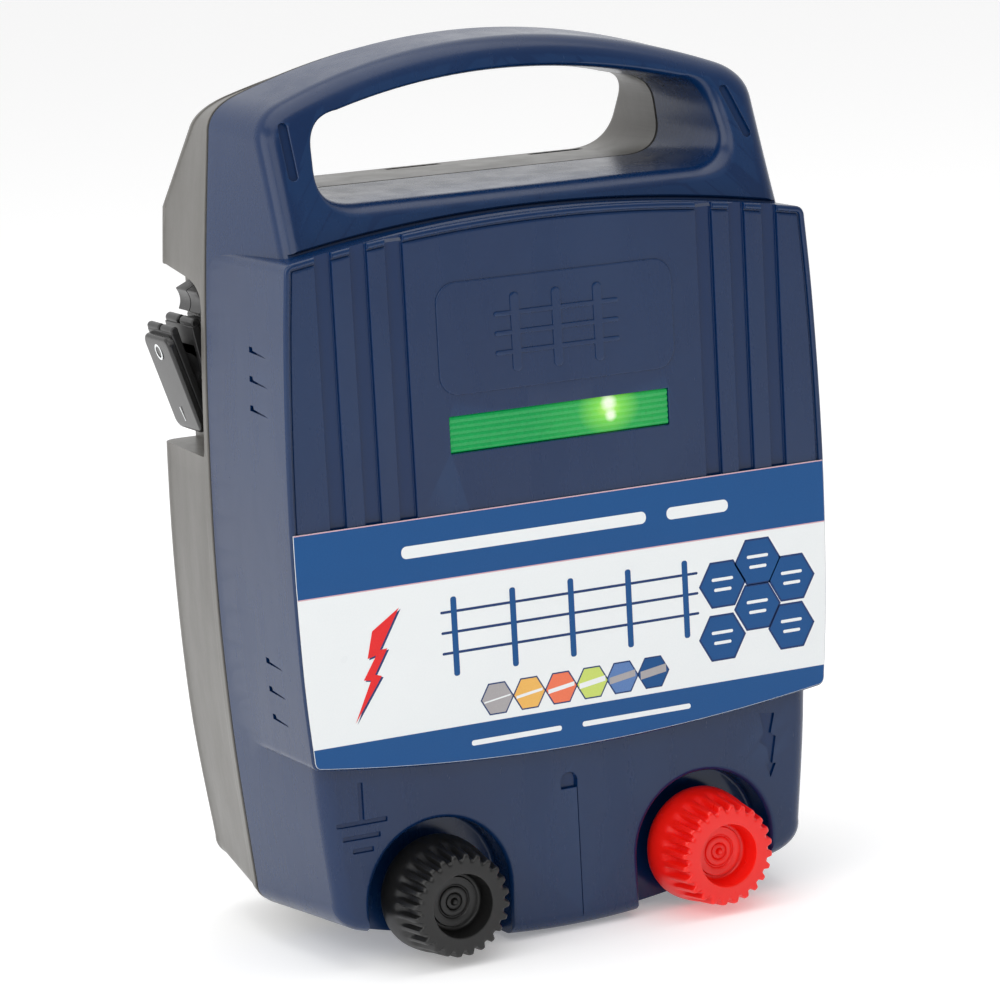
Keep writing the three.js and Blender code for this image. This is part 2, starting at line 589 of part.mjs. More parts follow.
function makeHeatSink() {
  const base = boxAt(16, 56, -60, -57, 2, 28);
  const fins = [];
  for (let i = 0; i < 6; i += 1) fins.push(boxAt(16 + i * 7.6, 18 + i * 7.6, -58, -40, 2, 28));
  return join(base, ...fins);
}

const makeThyristor = () => join(boxAt(30, 42, -64, -60.3, 8, 24), boxAt(35, 37, -63, -61.4, 0, 9));

// ---------------------------------------------------------------- terminals
function makeBush(x) {
  const y = RECESS_FLOOR_Y;
  return turned([[4.4, y + 4], [4.4, y - 2.3], [11, y - 2.3], [11.4, y - 1.9], [11.4, y - CLEAR],
    [6.2, y - CLEAR], [6.2, y + 4], [4.4, y + 4]], x, TERMINAL_Z, 20);
}

function makeStud(x) {
  return turned([[0, -80], [STUD_R, -80], [STUD_R, -97.6], [8, -97.6], [8, -99.2], [STUD_R, -99.2],
    [STUD_R, -111.2], [3.2, -112], [0, -112]], x, TERMINAL_Z, 20);
}

const ringPiece = (x, inner, outer, y0, y1, sides) => turned(
  [[inner, y1], [inner, y0], [outer, y0], [outer, y1], [inner, y1]], x, TERMINAL_Z, sides);

const makePressureWasher = (x) => ringPiece(x, 4.5, 10, -101.1, -99.5, 20);

function makeNut(x) {
  const hex = toSolid(new THREE.CylinderGeometry(7.5, 7.5, 5, 6).translate(x, -88.1 + 2.5, TERMINAL_Z));
  return cut(hex, barY(STUD_R + CLEAR, -92, -80, x, TERMINAL_Z, 20));
}

function makeTag(x) {
  const side = Math.sign(x);
  const ring = ringPiece(x, STUD_R + CLEAR, 7.6, -90.4, -88.9, 20);
  return join(ring, boxAt(x - 2.6, x + 2.6, -90.4, -88.9, TERMINAL_Z + 6.5, TERMINAL_Z + 17));
}

// ---------------------------------------------------------------- terminal knobs
// Bell shape, widest near its smooth back edge and ribbed from its middle to its front rim,
// with a skirt that is open at the back and a stepped hollow in front.
function makeKnob(x) {
  const length = KNOB_BACK_Y - KNOB_FRONT_Y;
  const stations = [[0, 19.4, 0], [0.06, 20.2, 0], [0.3, 19.8, 0], [0.44, 19.1, 0.05],
    [0.58, 18.1, 0.7], [0.94, 16.9, 1], [1, 16, 0.7]];
  const sides = KNOB_RIBS * 2;
  const ring = ([t, r, rib]) => {
    const points = [];
    for (let i = 0; i < sides; i += 1) {
      const angle = (i / sides) * Math.PI * 2;
      const radius = r + rib * KNOB_RIB_H * (i % 2 ? -0.5 : 0.5);
      points.push(new THREE.Vector3(
        x + radius * Math.cos(angle), KNOB_BACK_Y - t * length, TERMINAL_Z + radius * Math.sin(angle)));
    }
    return points;
  };
  const bell = loft(stations.map(ring).reverse());
  const [f, b] = [KNOB_FRONT_Y, KNOB_BACK_Y];
  const hollow = turned([[0, f + 5.6], [1.1, f + 5.6], [1.1, f + 7], [2.5, f + 7], [2.8, f + 7.5],
    [3.1, f + 7], [5.2, f + 7], [5.5, f + 7.5], [5.8, f + 7], [8.6, f + 7], [8.6, f + 8.4],
    [10.1, f + 8.4], [10.8, f - 1], [0, f - 1]], x, TERMINAL_Z, 24);
  const bore = turned([[0, -112.6], [STUD_R + 0.4, -112.4], [STUD_R + 0.4, b + 1], [0, b + 1]],
    x, TERMINAL_Z, 16);
  const skirt = turned([[12.4, b - 9.5], [15.4, b - 9.5], [17.4, b + 1], [12.4, b + 1], [12.4, b - 9.5]],
    x, TERMINAL_Z, 24);
  return cut(bell, hollow, bore, skirt);
}

// ---------------------------------------------------------------- rocker switch
// Local frame of the switch: origin at the rocker's pin, +X inwards, +Y back, +Z up.
const SWITCH_WIDTH = 21;

const across = (points, half) => {
  const shape = new THREE.Shape(points.map(([a, z]) => V(a, z)));
  return prism(shape, -half, half, 6);
};

function lugs(x0, x1, z, half) {
  const radius = (x1 - x0) / 2;
  const lug = (y0, y1) => barY(radius, y0, y1, (x0 + x1) / 2, z, 12);
  return join(lug(-half, -0.9), lug(0.9, half));
}

// Stepped body that leans out of the pocket, with a barrel into the case.
function makeSwitchBody() {
  const flange = across([[-1.7, 18.4], [0, -17.6], [5.7, -18.2], [11, 18.8]], 12);
  let body = join(flange, lugs(-1.6, 2, 19, 11.6));
  const barrel = across([[2, 12.6], [2, -12.6], [26, -12.6], [26, 12.6]], 10.8);
  const grooves = join(across([[1.9, 30], [1.4, -30], [2.2, -30], [3.4, 30]], 30),
    across([[5.4, 30], [3.6, -30], [4.4, -30], [7.2, 30]], 30));
  const core = across([[-6, 16.6], [-6, -15.6], [9, -15.6], [9, 16.6]], 11.2);
  body = join(cut(body, cut(grooves, core)), barrel);
  const well = across([[-9, 11.6], [-9, -12.2], [3, -11.8], [9, -8], [24.2, -8], [24.2, 8],
    [9, 8], [4, 11.2]], 9.6);
  const pinHole = toSolid(new THREE.CylinderGeometry(1.7, 1.7, 40, 12));
  const tabHoles = SWITCH_TABS.map((z) => boxAt(20, 30, -2.4, 2.4, z - 0.7, z + 0.7));
  return cut(body, well, pinHole, ...tabHoles);
}

// Rocker in its own frame: face plate, second plate with its lugs, stem round the pin.
function makeRocker() {
  const face = toSolid(new THREE.ExtrudeGeometry(roundedShape(-11, 11, -17.8, 17.8, 3.2),
    { depth: 2.4, bevelEnabled: true, bevelThickness: 0.7, bevelSize: 0.8, bevelOffset: -0.8,
      bevelSegments: 2, curveSegments: 4 }).rotateX(Math.PI / 2).rotateZ(-Math.PI / 2).translate(-5.8, 0, 0));
  const second = across([[-5.3, 19.2], [-5.3, -16.2], [-3.4, -16.2], [-2.9, 19.2]], 10.8);
  const bumps = lugs(-5.4, -2.8, 19.2, 10.8);
  const stem = across([[-5, 11], [-5, -11], [-1, -9], [2.4, -2.6], [2.4, 2.6], [-1, 9]], 9.2);
  const bore = toSolid(new THREE.CylinderGeometry(1.7, 1.7, 60, 12));
  return cut(join(face, second, bumps, stem), bore);
}

const makeRockerPin = () => toSolid(new THREE.CylinderGeometry(1.4, 1.4, 22.6, 12));

// See-saw contact in its own frame, with its tipping edge at the origin.
const makeContactArm = () => across(
  [[-3, 6.4], [-3, -6.4], [-2.2, -6.4], [0, -0.6], [0, 0.6], [-2.2, 6.4]], 3);

const makeSwitchTab = (z) => boxAt(
  CONTACT_X + (z === 0 ? 0.4 : -0.9), 34, -2.1, 2.1, z - 0.4, z + 0.4);

// Lead clamp above the switch: waisted block with a hole for the lead.
function makeLeadClamp() {
  const outline = new THREE.Shape();
  outline.moveTo(POCKET_X - CLEAR, 85.6).lineTo(POCKET_X - CLEAR, 95.4);
  outline.lineTo(-90.5, 95.4).lineTo(-95.8, 93);
  outline.quadraticCurveTo(-93.4, 89.6, -95.2, 85.6);
  outline.closePath();
  const block = prism(outline, -33, -14, 5);
  const bore = new THREE.CylinderGeometry(1.8, 1.8, 30, 14).rotateX(Math.PI / 2).translate(-89.8, -23, 90);
  return cut(block, toSolid(bore));
}

const makeLeadGland = () => {
  const profile = [[0, 95.7], [3.4, 95.7], [3.4, 96.7], [2.9, 97.1], [2.9, 97.9], [0, 97.9]];
  return toSolid(new THREE.LatheGeometry(profile.map(([r, z]) => V(r, z)), 20)
    .rotateX(Math.PI / 2).translate(-89.8, -23, 0));
};

// ---------------------------------------------------------------- assembly
const group = new THREE.Group();

function addPart(name, solid, material, parent = group) {
  const mesh = new THREE.Mesh(toGeometry(solid), material);
  mesh.name = name;
  parent.add(mesh);
}

const M = MATERIALS;
addPart('front_shell', makeFrontShell(), M.navy);
addPart('rear_shell', makeRearShell(), M.grey);
addPart('case_gasket', makeCaseGasket(), M.rubberBlack);
addPart('handle_gasket', makeHandleGasket(), M.rubberBlack);
addPart('front_label', makeLabel(), M.label);
addPart('rating_plate', makeRatingPlate(), M.aluminium);

addPart('display_lens', makeDisplayLens(), M.lens);
addPart('display_board', makeDisplayBoard(), M.board);
LAMP_X.forEach((x, i) => addPart(`display_lamp_${i + 1}`, makeLamp(x), M.lamp));

addPart('main_board', makeMainBoard(), M.board);
BOARD_SCREWS.forEach(([x, z], i) => addPart(`board_screw_${i + 1}`, makeBoardScrew(x, z), M.steel));
addPart('pulse_core', makePulseCore(), M.ironCore);
addPart('pulse_coil', makePulseCoil(), M.copper);
addPart('storage_capacitor', makeCapacitor(), M.canBlue);
addPart('supply_transformer', makeSupplyTransformer(), M.ironCore);
addPart('heat_sink', makeHeatSink(), M.aluminium);
addPart('thyristor', makeThyristor(), M.blackPlastic);

for (const [name, x, finish] of [['earth', EARTH_X, M.blackPlastic], ['fence', FENCE_X, M.redPlastic]]) {
  addPart(`${name}_bush`, makeBush(x), M.blackPlastic);
  addPart(`${name}_stud`, makeStud(x), M.brass);
  addPart(`${name}_nut`, makeNut(x), M.brass);
  addPart(`${name}_tag`, makeTag(x), M.brass);
  addPart(`${name}_washer`, makePressureWasher(x), M.steel);
  addPart(`${name}_knob`, makeKnob(x), finish);
}

const switchGroup = new THREE.Group();
switchGroup.position.set(...ROCKER_PIVOT);
switchGroup.rotation.y = SWITCH_TILT;
group.add(switchGroup);
const rockerGroup = new THREE.Group();
rockerGroup.rotation.y = ROCKER_TILT;
switchGroup.add(rockerGroup);
const contactGroup = new THREE.Group();
contactGroup.position.x = CONTACT_X;
contactGroup.rotation.y = CONTACT_TILT;
switchGroup.add(contactGroup);
addPart('switch_body', makeSwitchBody(), M.blackPlastic, switchGroup);
addPart('rocker', makeRocker(), M.blackPlastic, rockerGroup);
addPart('rocker_pin', makeRockerPin(), M.steel, switchGroup);
addPart('contact_arm', makeContactArm(), M.brass, contactGroup);
SWITCH_TABS.forEach((z, i) => addPart(`switch_tab_${i + 1}`, makeSwitchTab(z), M.brass, switchGroup));
addPart('lead_clamp', makeLeadClamp(), M.blackPlastic);
addPart('lead_gland', makeLeadGland(), M.blackPlastic);

screwSpots.forEach(([x, z], i) => addPart(`case_screw_${i + 1}`, makeCaseScrew(x, z), M.steel));

export default group;
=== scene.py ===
"""Electric fence energizer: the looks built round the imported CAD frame.

Lengths in the shape code are millimetres in the CAD's frame: +X right, front faces -Y, +Z up,
origin in the middle of the flat rear face. MM turns them into Blender's metres.
"""

import math

import bmesh
import bpy
from mathutils import Matrix, Vector


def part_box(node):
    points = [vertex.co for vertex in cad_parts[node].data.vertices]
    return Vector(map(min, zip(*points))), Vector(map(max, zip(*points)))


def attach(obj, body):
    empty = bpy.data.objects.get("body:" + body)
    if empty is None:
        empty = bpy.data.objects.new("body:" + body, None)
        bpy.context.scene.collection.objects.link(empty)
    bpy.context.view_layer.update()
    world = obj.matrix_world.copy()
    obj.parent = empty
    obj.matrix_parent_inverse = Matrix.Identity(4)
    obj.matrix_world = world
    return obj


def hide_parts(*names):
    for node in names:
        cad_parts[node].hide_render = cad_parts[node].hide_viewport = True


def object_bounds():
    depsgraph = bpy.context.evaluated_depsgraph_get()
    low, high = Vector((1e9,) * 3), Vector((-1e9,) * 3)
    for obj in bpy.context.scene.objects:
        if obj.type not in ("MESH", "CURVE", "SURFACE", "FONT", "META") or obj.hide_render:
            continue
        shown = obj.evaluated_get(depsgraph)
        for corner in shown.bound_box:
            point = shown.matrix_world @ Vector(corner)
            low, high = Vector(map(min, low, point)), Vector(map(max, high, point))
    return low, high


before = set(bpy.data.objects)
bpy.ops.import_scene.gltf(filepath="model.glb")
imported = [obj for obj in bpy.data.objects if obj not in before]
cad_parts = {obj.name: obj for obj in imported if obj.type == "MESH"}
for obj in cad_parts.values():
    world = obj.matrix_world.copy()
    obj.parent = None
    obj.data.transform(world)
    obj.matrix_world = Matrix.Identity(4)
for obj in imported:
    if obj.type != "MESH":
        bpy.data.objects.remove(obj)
cad_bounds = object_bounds()
MM = 0.001


def node_box(name):
    """Lowest and highest corner of a CAD node, in millimetres."""
    low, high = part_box(name)
    return Vector(low) / MM, Vector(high) / MM


# ---- driving dimensions
PANEL_Y = -112.0        # raised panel's rim
PANEL_R = 1.1           # rounding of the panel's outer edge
FACE_DROP = 0.45        # the panel's face lies this far behind its rim
FACE_Y = PANEL_Y + FACE_DROP
BODY_Y = -107.5         # case face above and below the panel
SEAM_Y = -50.0
SEAM_HALF = 0.75
WALL = 2.6
EDGE_R = 6.0
LEAN, LEAN_Z = 0.39, 100.5
SLOPE, SLOPE_Z = 0.81, 120.0
EARTH_X, FENCE_X, TERMINAL_Z = -52.0, 50.0, -109.0
RECESS_R, RECESS_FLOOR_Y = 26.5, -95.0
FLARE_SHIFT = (2.2, -1.5)   # the front flare sits off the opening's middle
HANDLE_SLOTS = ((-84.2, 143.8, 0.0), (83.6, 142.4, -0.3))   # x, z and turn of the finger slots
FLUTES = ((86.5, 80.5), (73.8, 67.7), (61.1, 54.8))         # outer and inner edge, each side
LOUVRE_Z = (79.8, 70.1, 60.4, -24.6, -34.4, -44.0)
CASE_SCREWS = ((87, -72), (90, 18), (86, 110))              # x and z, each side
POCKET_X, POCKET_Y = -86.0, -45.0
POCKET_LOW, POCKET_TOP = 38.5, ((30.0, 104.2), (-28.0, 98.4), (-45.0, 88.0))
PIVOT = Vector((-94.8, -23.0, 64.1))
SWITCH_TILT, ROCKER_TILT = -0.148, -0.17
LABEL_FRONT, INK = PANEL_Y - 0.3, 0.03                      # INK is one print layer's thickness
LABEL_LOW, LABEL_TOP, BAND_TOP, BAND_LOW = -90.0, 21.4, 0.0, -50.8
LENS_LOW, LENS_HIGH = node_box("display_lens")
LAMP = Vector((18.5, 0.0, 49.3))


# ---- materials
class Look:
    """A material in the making: its shader, with the few node set-ups that all materials share."""

    def __init__(self, name):
        self.material = bpy.data.materials.new(name)
        self.material.use_nodes = True
        self.nodes, self.links = self.material.node_tree.nodes, self.material.node_tree.links
        self.shader = self.nodes["Principled BSDF"]
        self.place = self.nodes.new("ShaderNodeTexCoord").outputs["Object"]

    def put(self, name, value):
        """Gives a shader input a value or a link."""
        if isinstance(value, bpy.types.NodeSocket):
            self.links.new(value, self.shader.inputs[name])
        else:
            self.shader.inputs[name].default_value = value

    def noise(self, scale, detail=3.0, roughness=0.55, stretch=None):
        """Noise in the object's own metres, finer along an axis where stretch is larger."""
        texture = self.nodes.new("ShaderNodeTexNoise")
        texture.inputs["Scale"].default_value = scale
        texture.inputs["Detail"].default_value = detail
        texture.inputs["Roughness"].default_value = roughness
        source = self.place
        if stretch:
            mapping = self.nodes.new("ShaderNodeMapping")
            mapping.inputs["Scale"].default_value = stretch
            self.links.new(source, mapping.inputs["Vector"])
            source = mapping.outputs["Vector"]
        self.links.new(source, texture.inputs["Vector"])
        return texture.outputs["Fac"]

    def spread(self, value, low, high, start=0.3, stop=0.7):
        """Maps a texture's middle range to low..high."""
        ranged = self.nodes.new("ShaderNodeMapRange")
        ranged.inputs["From Min"].default_value = start
        ranged.inputs["From Max"].default_value = stop
        ranged.inputs["To Min"].default_value = low
        ranged.inputs["To Max"].default_value = high
        self.links.new(value, ranged.inputs["Value"])
        return ranged.outputs["Result"]

    def mix(self, factor, a, b):
        mixer = self.nodes.new("ShaderNodeMix")
        mixer.data_type = "RGBA"
        self.links.new(factor, mixer.inputs["Factor"])
        for name, value in (("A", a), ("B", b)):
            socket = [s for s in mixer.inputs if s.name == name and s.type == "RGBA"][0]
            if isinstance(value, bpy.types.NodeSocket):
                self.links.new(value, socket)
            else:
                socket.default_value = (*value, 1.0)
        return [s for s in mixer.outputs if s.type == "RGBA"][0]

    def bump(self, heights):
        """Stacks bump layers given as (height socket, strength, distance in metres)."""
        normal = None
        for height, strength, distance in heights:
            bump = self.nodes.new("ShaderNodeBump")
            bump.inputs["Strength"].default_value = strength
            bump.inputs["Distance"].default_value = distance
            self.links.new(height, bump.inputs["Height"])
            if normal:
                self.links.new(normal, bump.inputs["Normal"])
            normal = bump.outputs["Normal"]
        self.put("Normal", normal)

    def distance_from(self, point, squeeze):
        """Distance in millimetres from a point, with each axis scaled by squeeze."""
        value = self.place
        for operation, amount in (("SUBTRACT", Vector(point) * MM), ("MULTIPLY", Vector(squeeze) / MM)):
            step = self.nodes.new("ShaderNodeVectorMath")
            step.operation = operation
            step.inputs[1].default_value = amount
            self.links.new(value, step.inputs[0])
            value = step.outputs["Vector"]
        length = self.nodes.new("ShaderNodeVectorMath")
        length.operation = "LENGTH"
        self.links.new(value, length.inputs[0])
        return length.outputs["Value"]


def moulded(name, color, light, roughness, grain=1400.0, bump=0.25, specular=0.5, wear=0.5):
    """Moulded plastic: mould grain, slow tone drift, faint handling marks, paler edges."""
    look = Look(name)
    drift = look.noise(14.0, 4.0)
    speck = look.noise(900.0, 2.0)
    tone = look.mix(look.spread(drift, 0.0, 0.35), color, light)
    tone = look.mix(look.spread(speck, 0.0, 0.12, 0.5, 0.75), tone, light)
    geometry = look.nodes.new("ShaderNodeNewGeometry")
    edge = look.spread(geometry.outputs["Pointiness"], 0.0, wear, 0.515, 0.58)
    tone = look.mix(edge, tone, light)
    look.put("Base Color", tone)
    marks = look.noise(60.0, 6.0, 0.7, (1.0, 1.0, 0.25))
    look.put("Roughness", look.spread(marks, roughness - 0.05, roughness + 0.09))
    look.put("Specular IOR Level", specular)
    grain_fac = look.noise(grain, 2.0, 0.6)
    wave_fac = look.noise(22.0, 2.0)
    look.bump([(grain_fac, bump, 0.00006), (wave_fac, 0.10, 0.0006)])
    return look.material


def metal(name, color, dull, roughness, brushed=(1.0, 1.0, 1.0)):
    """Plated or machined metal: fine brushing, dull patches and small pits."""
    look = Look(name)
    look.put("Metallic", 1.0)
    patch = look.noise(120.0, 5.0, 0.65)
    tone = look.mix(look.spread(patch, 0.0, 0.8, 0.4, 0.72), color, dull)
    look.put("Base Color", tone)
    scratch = look.noise(700.0, 4.0, 0.7, brushed)
    look.put("Roughness", look.spread(scratch, roughness - 0.08, roughness + 0.14))
    look.bump([(scratch, 0.2, 0.00004)])
    return look.material


def printed(name, color, second, roughness=0.3):
    """Ink on a vinyl sheet: screen speckle, slight tone drift and a fine orange peel."""
    look = Look(name)
    speck = look.noise(1700.0, 2.0)
    drift = look.noise(25.0, 3.0)
    tone = look.mix(look.spread(speck, 0.0, 0.45), color, second)
    tone = look.mix(look.spread(drift, 0.0, 0.4), tone, second)
    look.put("Base Color", tone)
    look.put("Roughness", look.spread(drift, roughness - 0.04, roughness + 0.08))
    look.put("Specular IOR Level", 0.28)
    look.bump([(look.noise(260.0, 2.0), 0.12, 0.00008)])
    return look.material


def circuit_board(name):
    """Solder mask over copper tracks: a blocky track pattern under green lacquer."""
    look = Look(name)
    tracks = look.nodes.new("ShaderNodeTexBrick")
    tracks.inputs["Scale"].default_value = 160.0
    tracks.inputs["Mortar Size"].default_value = 0.06
    tracks.inputs["Color1"].default_value = (0.012, 0.11, 0.035, 1)
    tracks.inputs["Color2"].default_value = (0.02, 0.16, 0.05, 1)
    tracks.inputs["Mortar"].default_value = (0.05, 0.26, 0.09, 1)
    swap = look.nodes.new("ShaderNodeMapping")
    swap.inputs["Rotation"].default_value = (math.pi / 2, 0, 0)
    look.links.new(look.place, swap.inputs["Vector"])
    look.links.new(swap.outputs["Vector"], tracks.inputs["Vector"])
    look.put("Base Color", tracks.outputs["Color"])
    look.put("Roughness", look.spread(look.noise(90.0), 0.25, 0.45))
    look.bump([(tracks.outputs["Fac"], 0.3, 0.00008)])
    return look.material


def winding(name):
    """Enamelled wire laid in close turns."""
    look = Look(name)
    turns = look.nodes.new("ShaderNodeTexWave")
    turns.bands_direction = "Y"
    turns.inputs["Scale"].default_value = 500.0
    turns.inputs["Distortion"].default_value = 0.6
    look.links.new(look.place, turns.inputs["Vector"])
    tone = look.mix(turns.outputs["Fac"], (0.16, 0.035, 0.01), (0.62, 0.2, 0.06))
    look.put("Base Color", tone)
    look.put("Metallic", 0.6)
    look.put("Roughness", look.spread(look.noise(200.0), 0.25, 0.4))
    look.bump([(turns.outputs["Fac"], 0.6, 0.0003)])
    return look.material


def lit_lens(name):
    """Green ribbed lens: glows round the lit lamp, which shows twice through the ribs."""
    look = Look(name)
    sparkle = look.noise(1300.0, 3.0, 0.7)
    streak = look.noise(90.0, 3.0, 0.6, (0.25, 1.0, 2.5))
    tone = look.mix(look.spread(sparkle, 0.0, 1.0), (0.004, 0.10, 0.025), (0.012, 0.22, 0.06))
    look.put("Base Color", tone)
    look.put("Roughness", look.spread(streak, 0.16, 0.32))
    glow = look.distance_from((LAMP.x, PANEL_Y, LAMP.z), (1.0, 0.0, 1.3))
    ramp = look.nodes.new("ShaderNodeValToRGB")
    steps = [(0.0, (0.62, 0.95, 0.16)), (0.08, (0.22, 0.62, 0.06)), (0.2, (0.02, 0.26, 0.05)),
             (0.5, (0.001, 0.19, 0.04)), (1.0, (0.001, 0.20, 0.045))]
    while len(ramp.color_ramp.elements) < len(steps):
        ramp.color_ramp.elements.new(0.5)
    for element, (place, color) in zip(ramp.color_ramp.elements, steps):
        element.position = place
        element.color = (*color, 1.0)
    look.links.new(look.spread(glow, 0.0, 1.0, 0.0, 60.0), ramp.inputs["Fac"])
    color = ramp.outputs["Color"]
    for place, radius in (((18.6, PANEL_Y, 51.0), 3.4), ((19.2, PANEL_Y, 46.8), 2.5)):
        spot = look.distance_from(place, (1.0, 0.0, 1.0))
        color = look.mix(look.spread(spot, 1.0, 0.0, radius * 0.35, radius), color, (1.0, 1.0, 0.82))
    color = look.mix(look.spread(sparkle, 0.0, 0.25, 0.5, 0.8), color, (0.0, 0.05, 0.01))
    look.put("Emission Color", color)
    look.put("Emission Strength", 0.9)
    look.put("Coat Weight", 0.15)
    look.put("Specular IOR Level", 0.3)
    look.put("Coat Roughness", 0.1)
    look.bump([(sparkle, 0.15, 0.00008)])
    return look.material


NAVY = moulded("navy_satin", (0.0006, 0.0165, 0.070), (0.006, 0.034, 0.108), 0.24, specular=0.45)
NAVY_GLOSS = moulded("navy_gloss", (0.0006, 0.0175, 0.078), (0.002, 0.028, 0.10), 0.14, bump=0.08,
                     specular=0.35, wear=0.2)
GREY = moulded("warm_grey", (0.098, 0.093, 0.084), (0.18, 0.171, 0.158), 0.34, wear=0.45)
BLACK = moulded("black_satin", (0.0055, 0.0055, 0.0058), (0.03, 0.03, 0.031), 0.30, grain=1100.0)
KNOB_BLACK = moulded("knob_black", (0.0035, 0.0035, 0.0034), (0.022, 0.022, 0.022), 0.36,
                     grain=1000.0, bump=0.3)
KNOB_RED = moulded("knob_red", (0.86, 0.004, 0.002), (0.98, 0.03, 0.015), 0.30, grain=1000.0,
                   bump=0.15)
GLOSS_BLACK = moulded("rocker_black", (0.008, 0.008, 0.008), (0.03, 0.03, 0.03), 0.16, bump=0.05,
                      wear=0.3)
RUBBER = moulded("seam_rubber", (0.004, 0.004, 0.0045), (0.02, 0.02, 0.02), 0.7, grain=800.0)
CAN_BLUE = moulded("capacitor_sleeve", (0.01, 0.03, 0.22), (0.04, 0.08, 0.35), 0.25)
WHITE_INK = printed("ink_white", (0.80, 0.83, 0.84), (0.86, 0.88, 0.88))
BLUE_INK = printed("ink_blue", (0.002, 0.066, 0.225), (0.005, 0.082, 0.262))
PINK_INK = printed("ink_pink", (0.62, 0.36, 0.42), (0.70, 0.46, 0.50))
NAVY_INK = printed("ink_navy", (0.006, 0.030, 0.125), (0.010, 0.045, 0.17))
RED_INK = printed("ink_red", (0.72, 0.012, 0.014), (0.85, 0.03, 0.03))
GREY_INK = printed("ink_grey", (0.36, 0.34, 0.35), (0.44, 0.42, 0.42))
ORANGE_INK = printed("ink_orange", (0.80, 0.42, 0.09), (0.88, 0.52, 0.14))
CORAL_INK = printed("ink_coral", (0.80, 0.16, 0.075), (0.88, 0.22, 0.11))
LIME_INK = printed("ink_lime", (0.55, 0.66, 0.13), (0.62, 0.74, 0.2))
SKY_INK = printed("ink_sky", (0.085, 0.18, 0.42), (0.14, 0.25, 0.5))
STEEL = metal("zinc_steel", (0.55, 0.56, 0.57), (0.34, 0.34, 0.35), 0.32)
BRASS = metal("brass", (0.72, 0.50, 0.19), (0.42, 0.27, 0.09), 0.3)
ALLOY = metal("alloy", (0.72, 0.73, 0.74), (0.5, 0.5, 0.51), 0.34, (0.2, 1.0, 1.0))
IRON = metal("core_iron", (0.16, 0.16, 0.17), (0.08, 0.075, 0.07), 0.5)
BOARD = circuit_board("board_green")
COPPER = winding("copper_winding")
LENS = lit_lens("lens_green")
LAMP_CLEAR = moulded("lamp_clear", (0.45, 0.8, 0.4), (0.7, 1.0, 0.6), 0.15, bump=0.03)


# ---- mesh helpers
def quarter(steps):
    """A quarter round in steps: how far it still has to go sideways, and how far it has come along."""
    angles = [math.pi / 2 * i / steps for i in range(steps + 1)]
    return [(1 - math.sin(a), 1 - math.cos(a)) for a in angles]


def mesh_object(name, points, faces, material):
    mesh = bpy.data.meshes.new(name)
    mesh.from_pydata([tuple(Vector(p) * MM) for p in points], [], faces)
    mesh.materials.append(material)
    thing = bpy.data.objects.new(name, mesh)
    bpy.context.scene.collection.objects.link(thing)
    bm = bmesh.new()
    bm.from_mesh(mesh)
    bmesh.ops.recalc_face_normals(bm, faces=bm.faces)
    bmesh.ops.triangulate(bm, faces=[f for f in bm.faces if len(f.verts) > 4])
    bm.to_mesh(mesh)
    bm.free()
    return thing


def loft(name, rings, material):
    """Closed solid through rings of equal length, with a flat face at each end."""
    count = len(rings[0])
    points = [p for ring in rings for p in ring]
    faces = [tuple(range(count)), tuple(range(len(points) - count, len(points)))]
    for r in range(len(rings) - 1):
        for i in range(count):
            a, b = r * count + i, r * count + (i + 1) % count
            faces.append((a, b, b + count, a + count))
    return mesh_object(name, points, faces, material)


def apply_modifier(thing, kind, **settings):
    modifier = thing.modifiers.new(kind.lower(), kind)
    for key, value in settings.items():
        setattr(modifier, key, value)
    bpy.context.view_layer.update()
    evaluated = thing.evaluated_get(bpy.context.evaluated_depsgraph_get())
    mesh = bpy.data.meshes.new_from_object(evaluated)
    thing.modifiers.clear()
    thing.data = mesh
    return thing


def boolean(thing, operation, *tools):
    for tool in tools:
        apply_modifier(thing, "BOOLEAN", operation=operation, object=tool, solver="MANIFOLD")
        bpy.data.objects.remove(tool)
    return thing


def cut(thing, *tools):
    return boolean(thing, "DIFFERENCE", *tools)


def join(thing, *tools):
    return boolean(thing, "UNION", *tools)


def finish_surface(thing, angle=30.0):
    """Smooth shading that keeps the real edges."""
    mesh = thing.data
    mesh.shade_smooth()
    mesh.set_sharp_from_angle(angle=math.radians(angle))
    weighted = thing.modifiers.new("weighted", "WEIGHTED_NORMAL")
    weighted.keep_sharp = True
    weighted.weight = 80
    return thing


def place(thing, body, slot, *nodes):
    """Rides on a body and stands for CAD nodes. The slot argument is not used."""
    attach(thing, body)
    if nodes:
        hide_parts(*nodes)
    return thing


# ---- plane curves, in (x, z)
def bend(a, b, c, steps):
    """Quadratic curve from a to c, pulled towards b; leaves the last point out."""
    result = []
    for i in range(steps):
        t = i / steps
        result.append(tuple((1 - t) ** 2 * p + 2 * t * (1 - t) * q + t * t * r
                            for p, q, r in zip(a, b, c)))
    return result


def line(a, b, steps=1):
    return [tuple(p + (q - p) * i / steps for p, q in zip(a, b)) for i in range(steps)]


def spline(points, steps):
    """Smooth curve through the points (Catmull-Rom); leaves the last point out."""
    result, last = [], len(points) - 1
    for i in range(steps):
        where = last * i / steps
        k = min(int(where), last - 1)
        t = where - k
        p0, p1, p2, p3 = (points[max(0, min(last, k + j))] for j in (-1, 0, 1, 2))
        result.append(tuple(
            (2 * b - 2 * c + (c - a) / 2 + (d - b) / 2) * t ** 3
            + (-3 * b + 3 * c - (c - a) - (d - b) / 2) * t ** 2 + (c - a) / 2 * t + b
            for a, b, c, d in zip(p0, p1, p2, p3)))
    return result


def arc(x, z, radius, start, stop, steps):
    """Points round an arc, angles in degrees; leaves the last point out."""
    result = []
    for i in range(steps):
        angle = math.radians(start + (stop - start) * i / steps)
        result.append((x + radius * math.cos(angle), z + radius * math.sin(angle)))
    return result


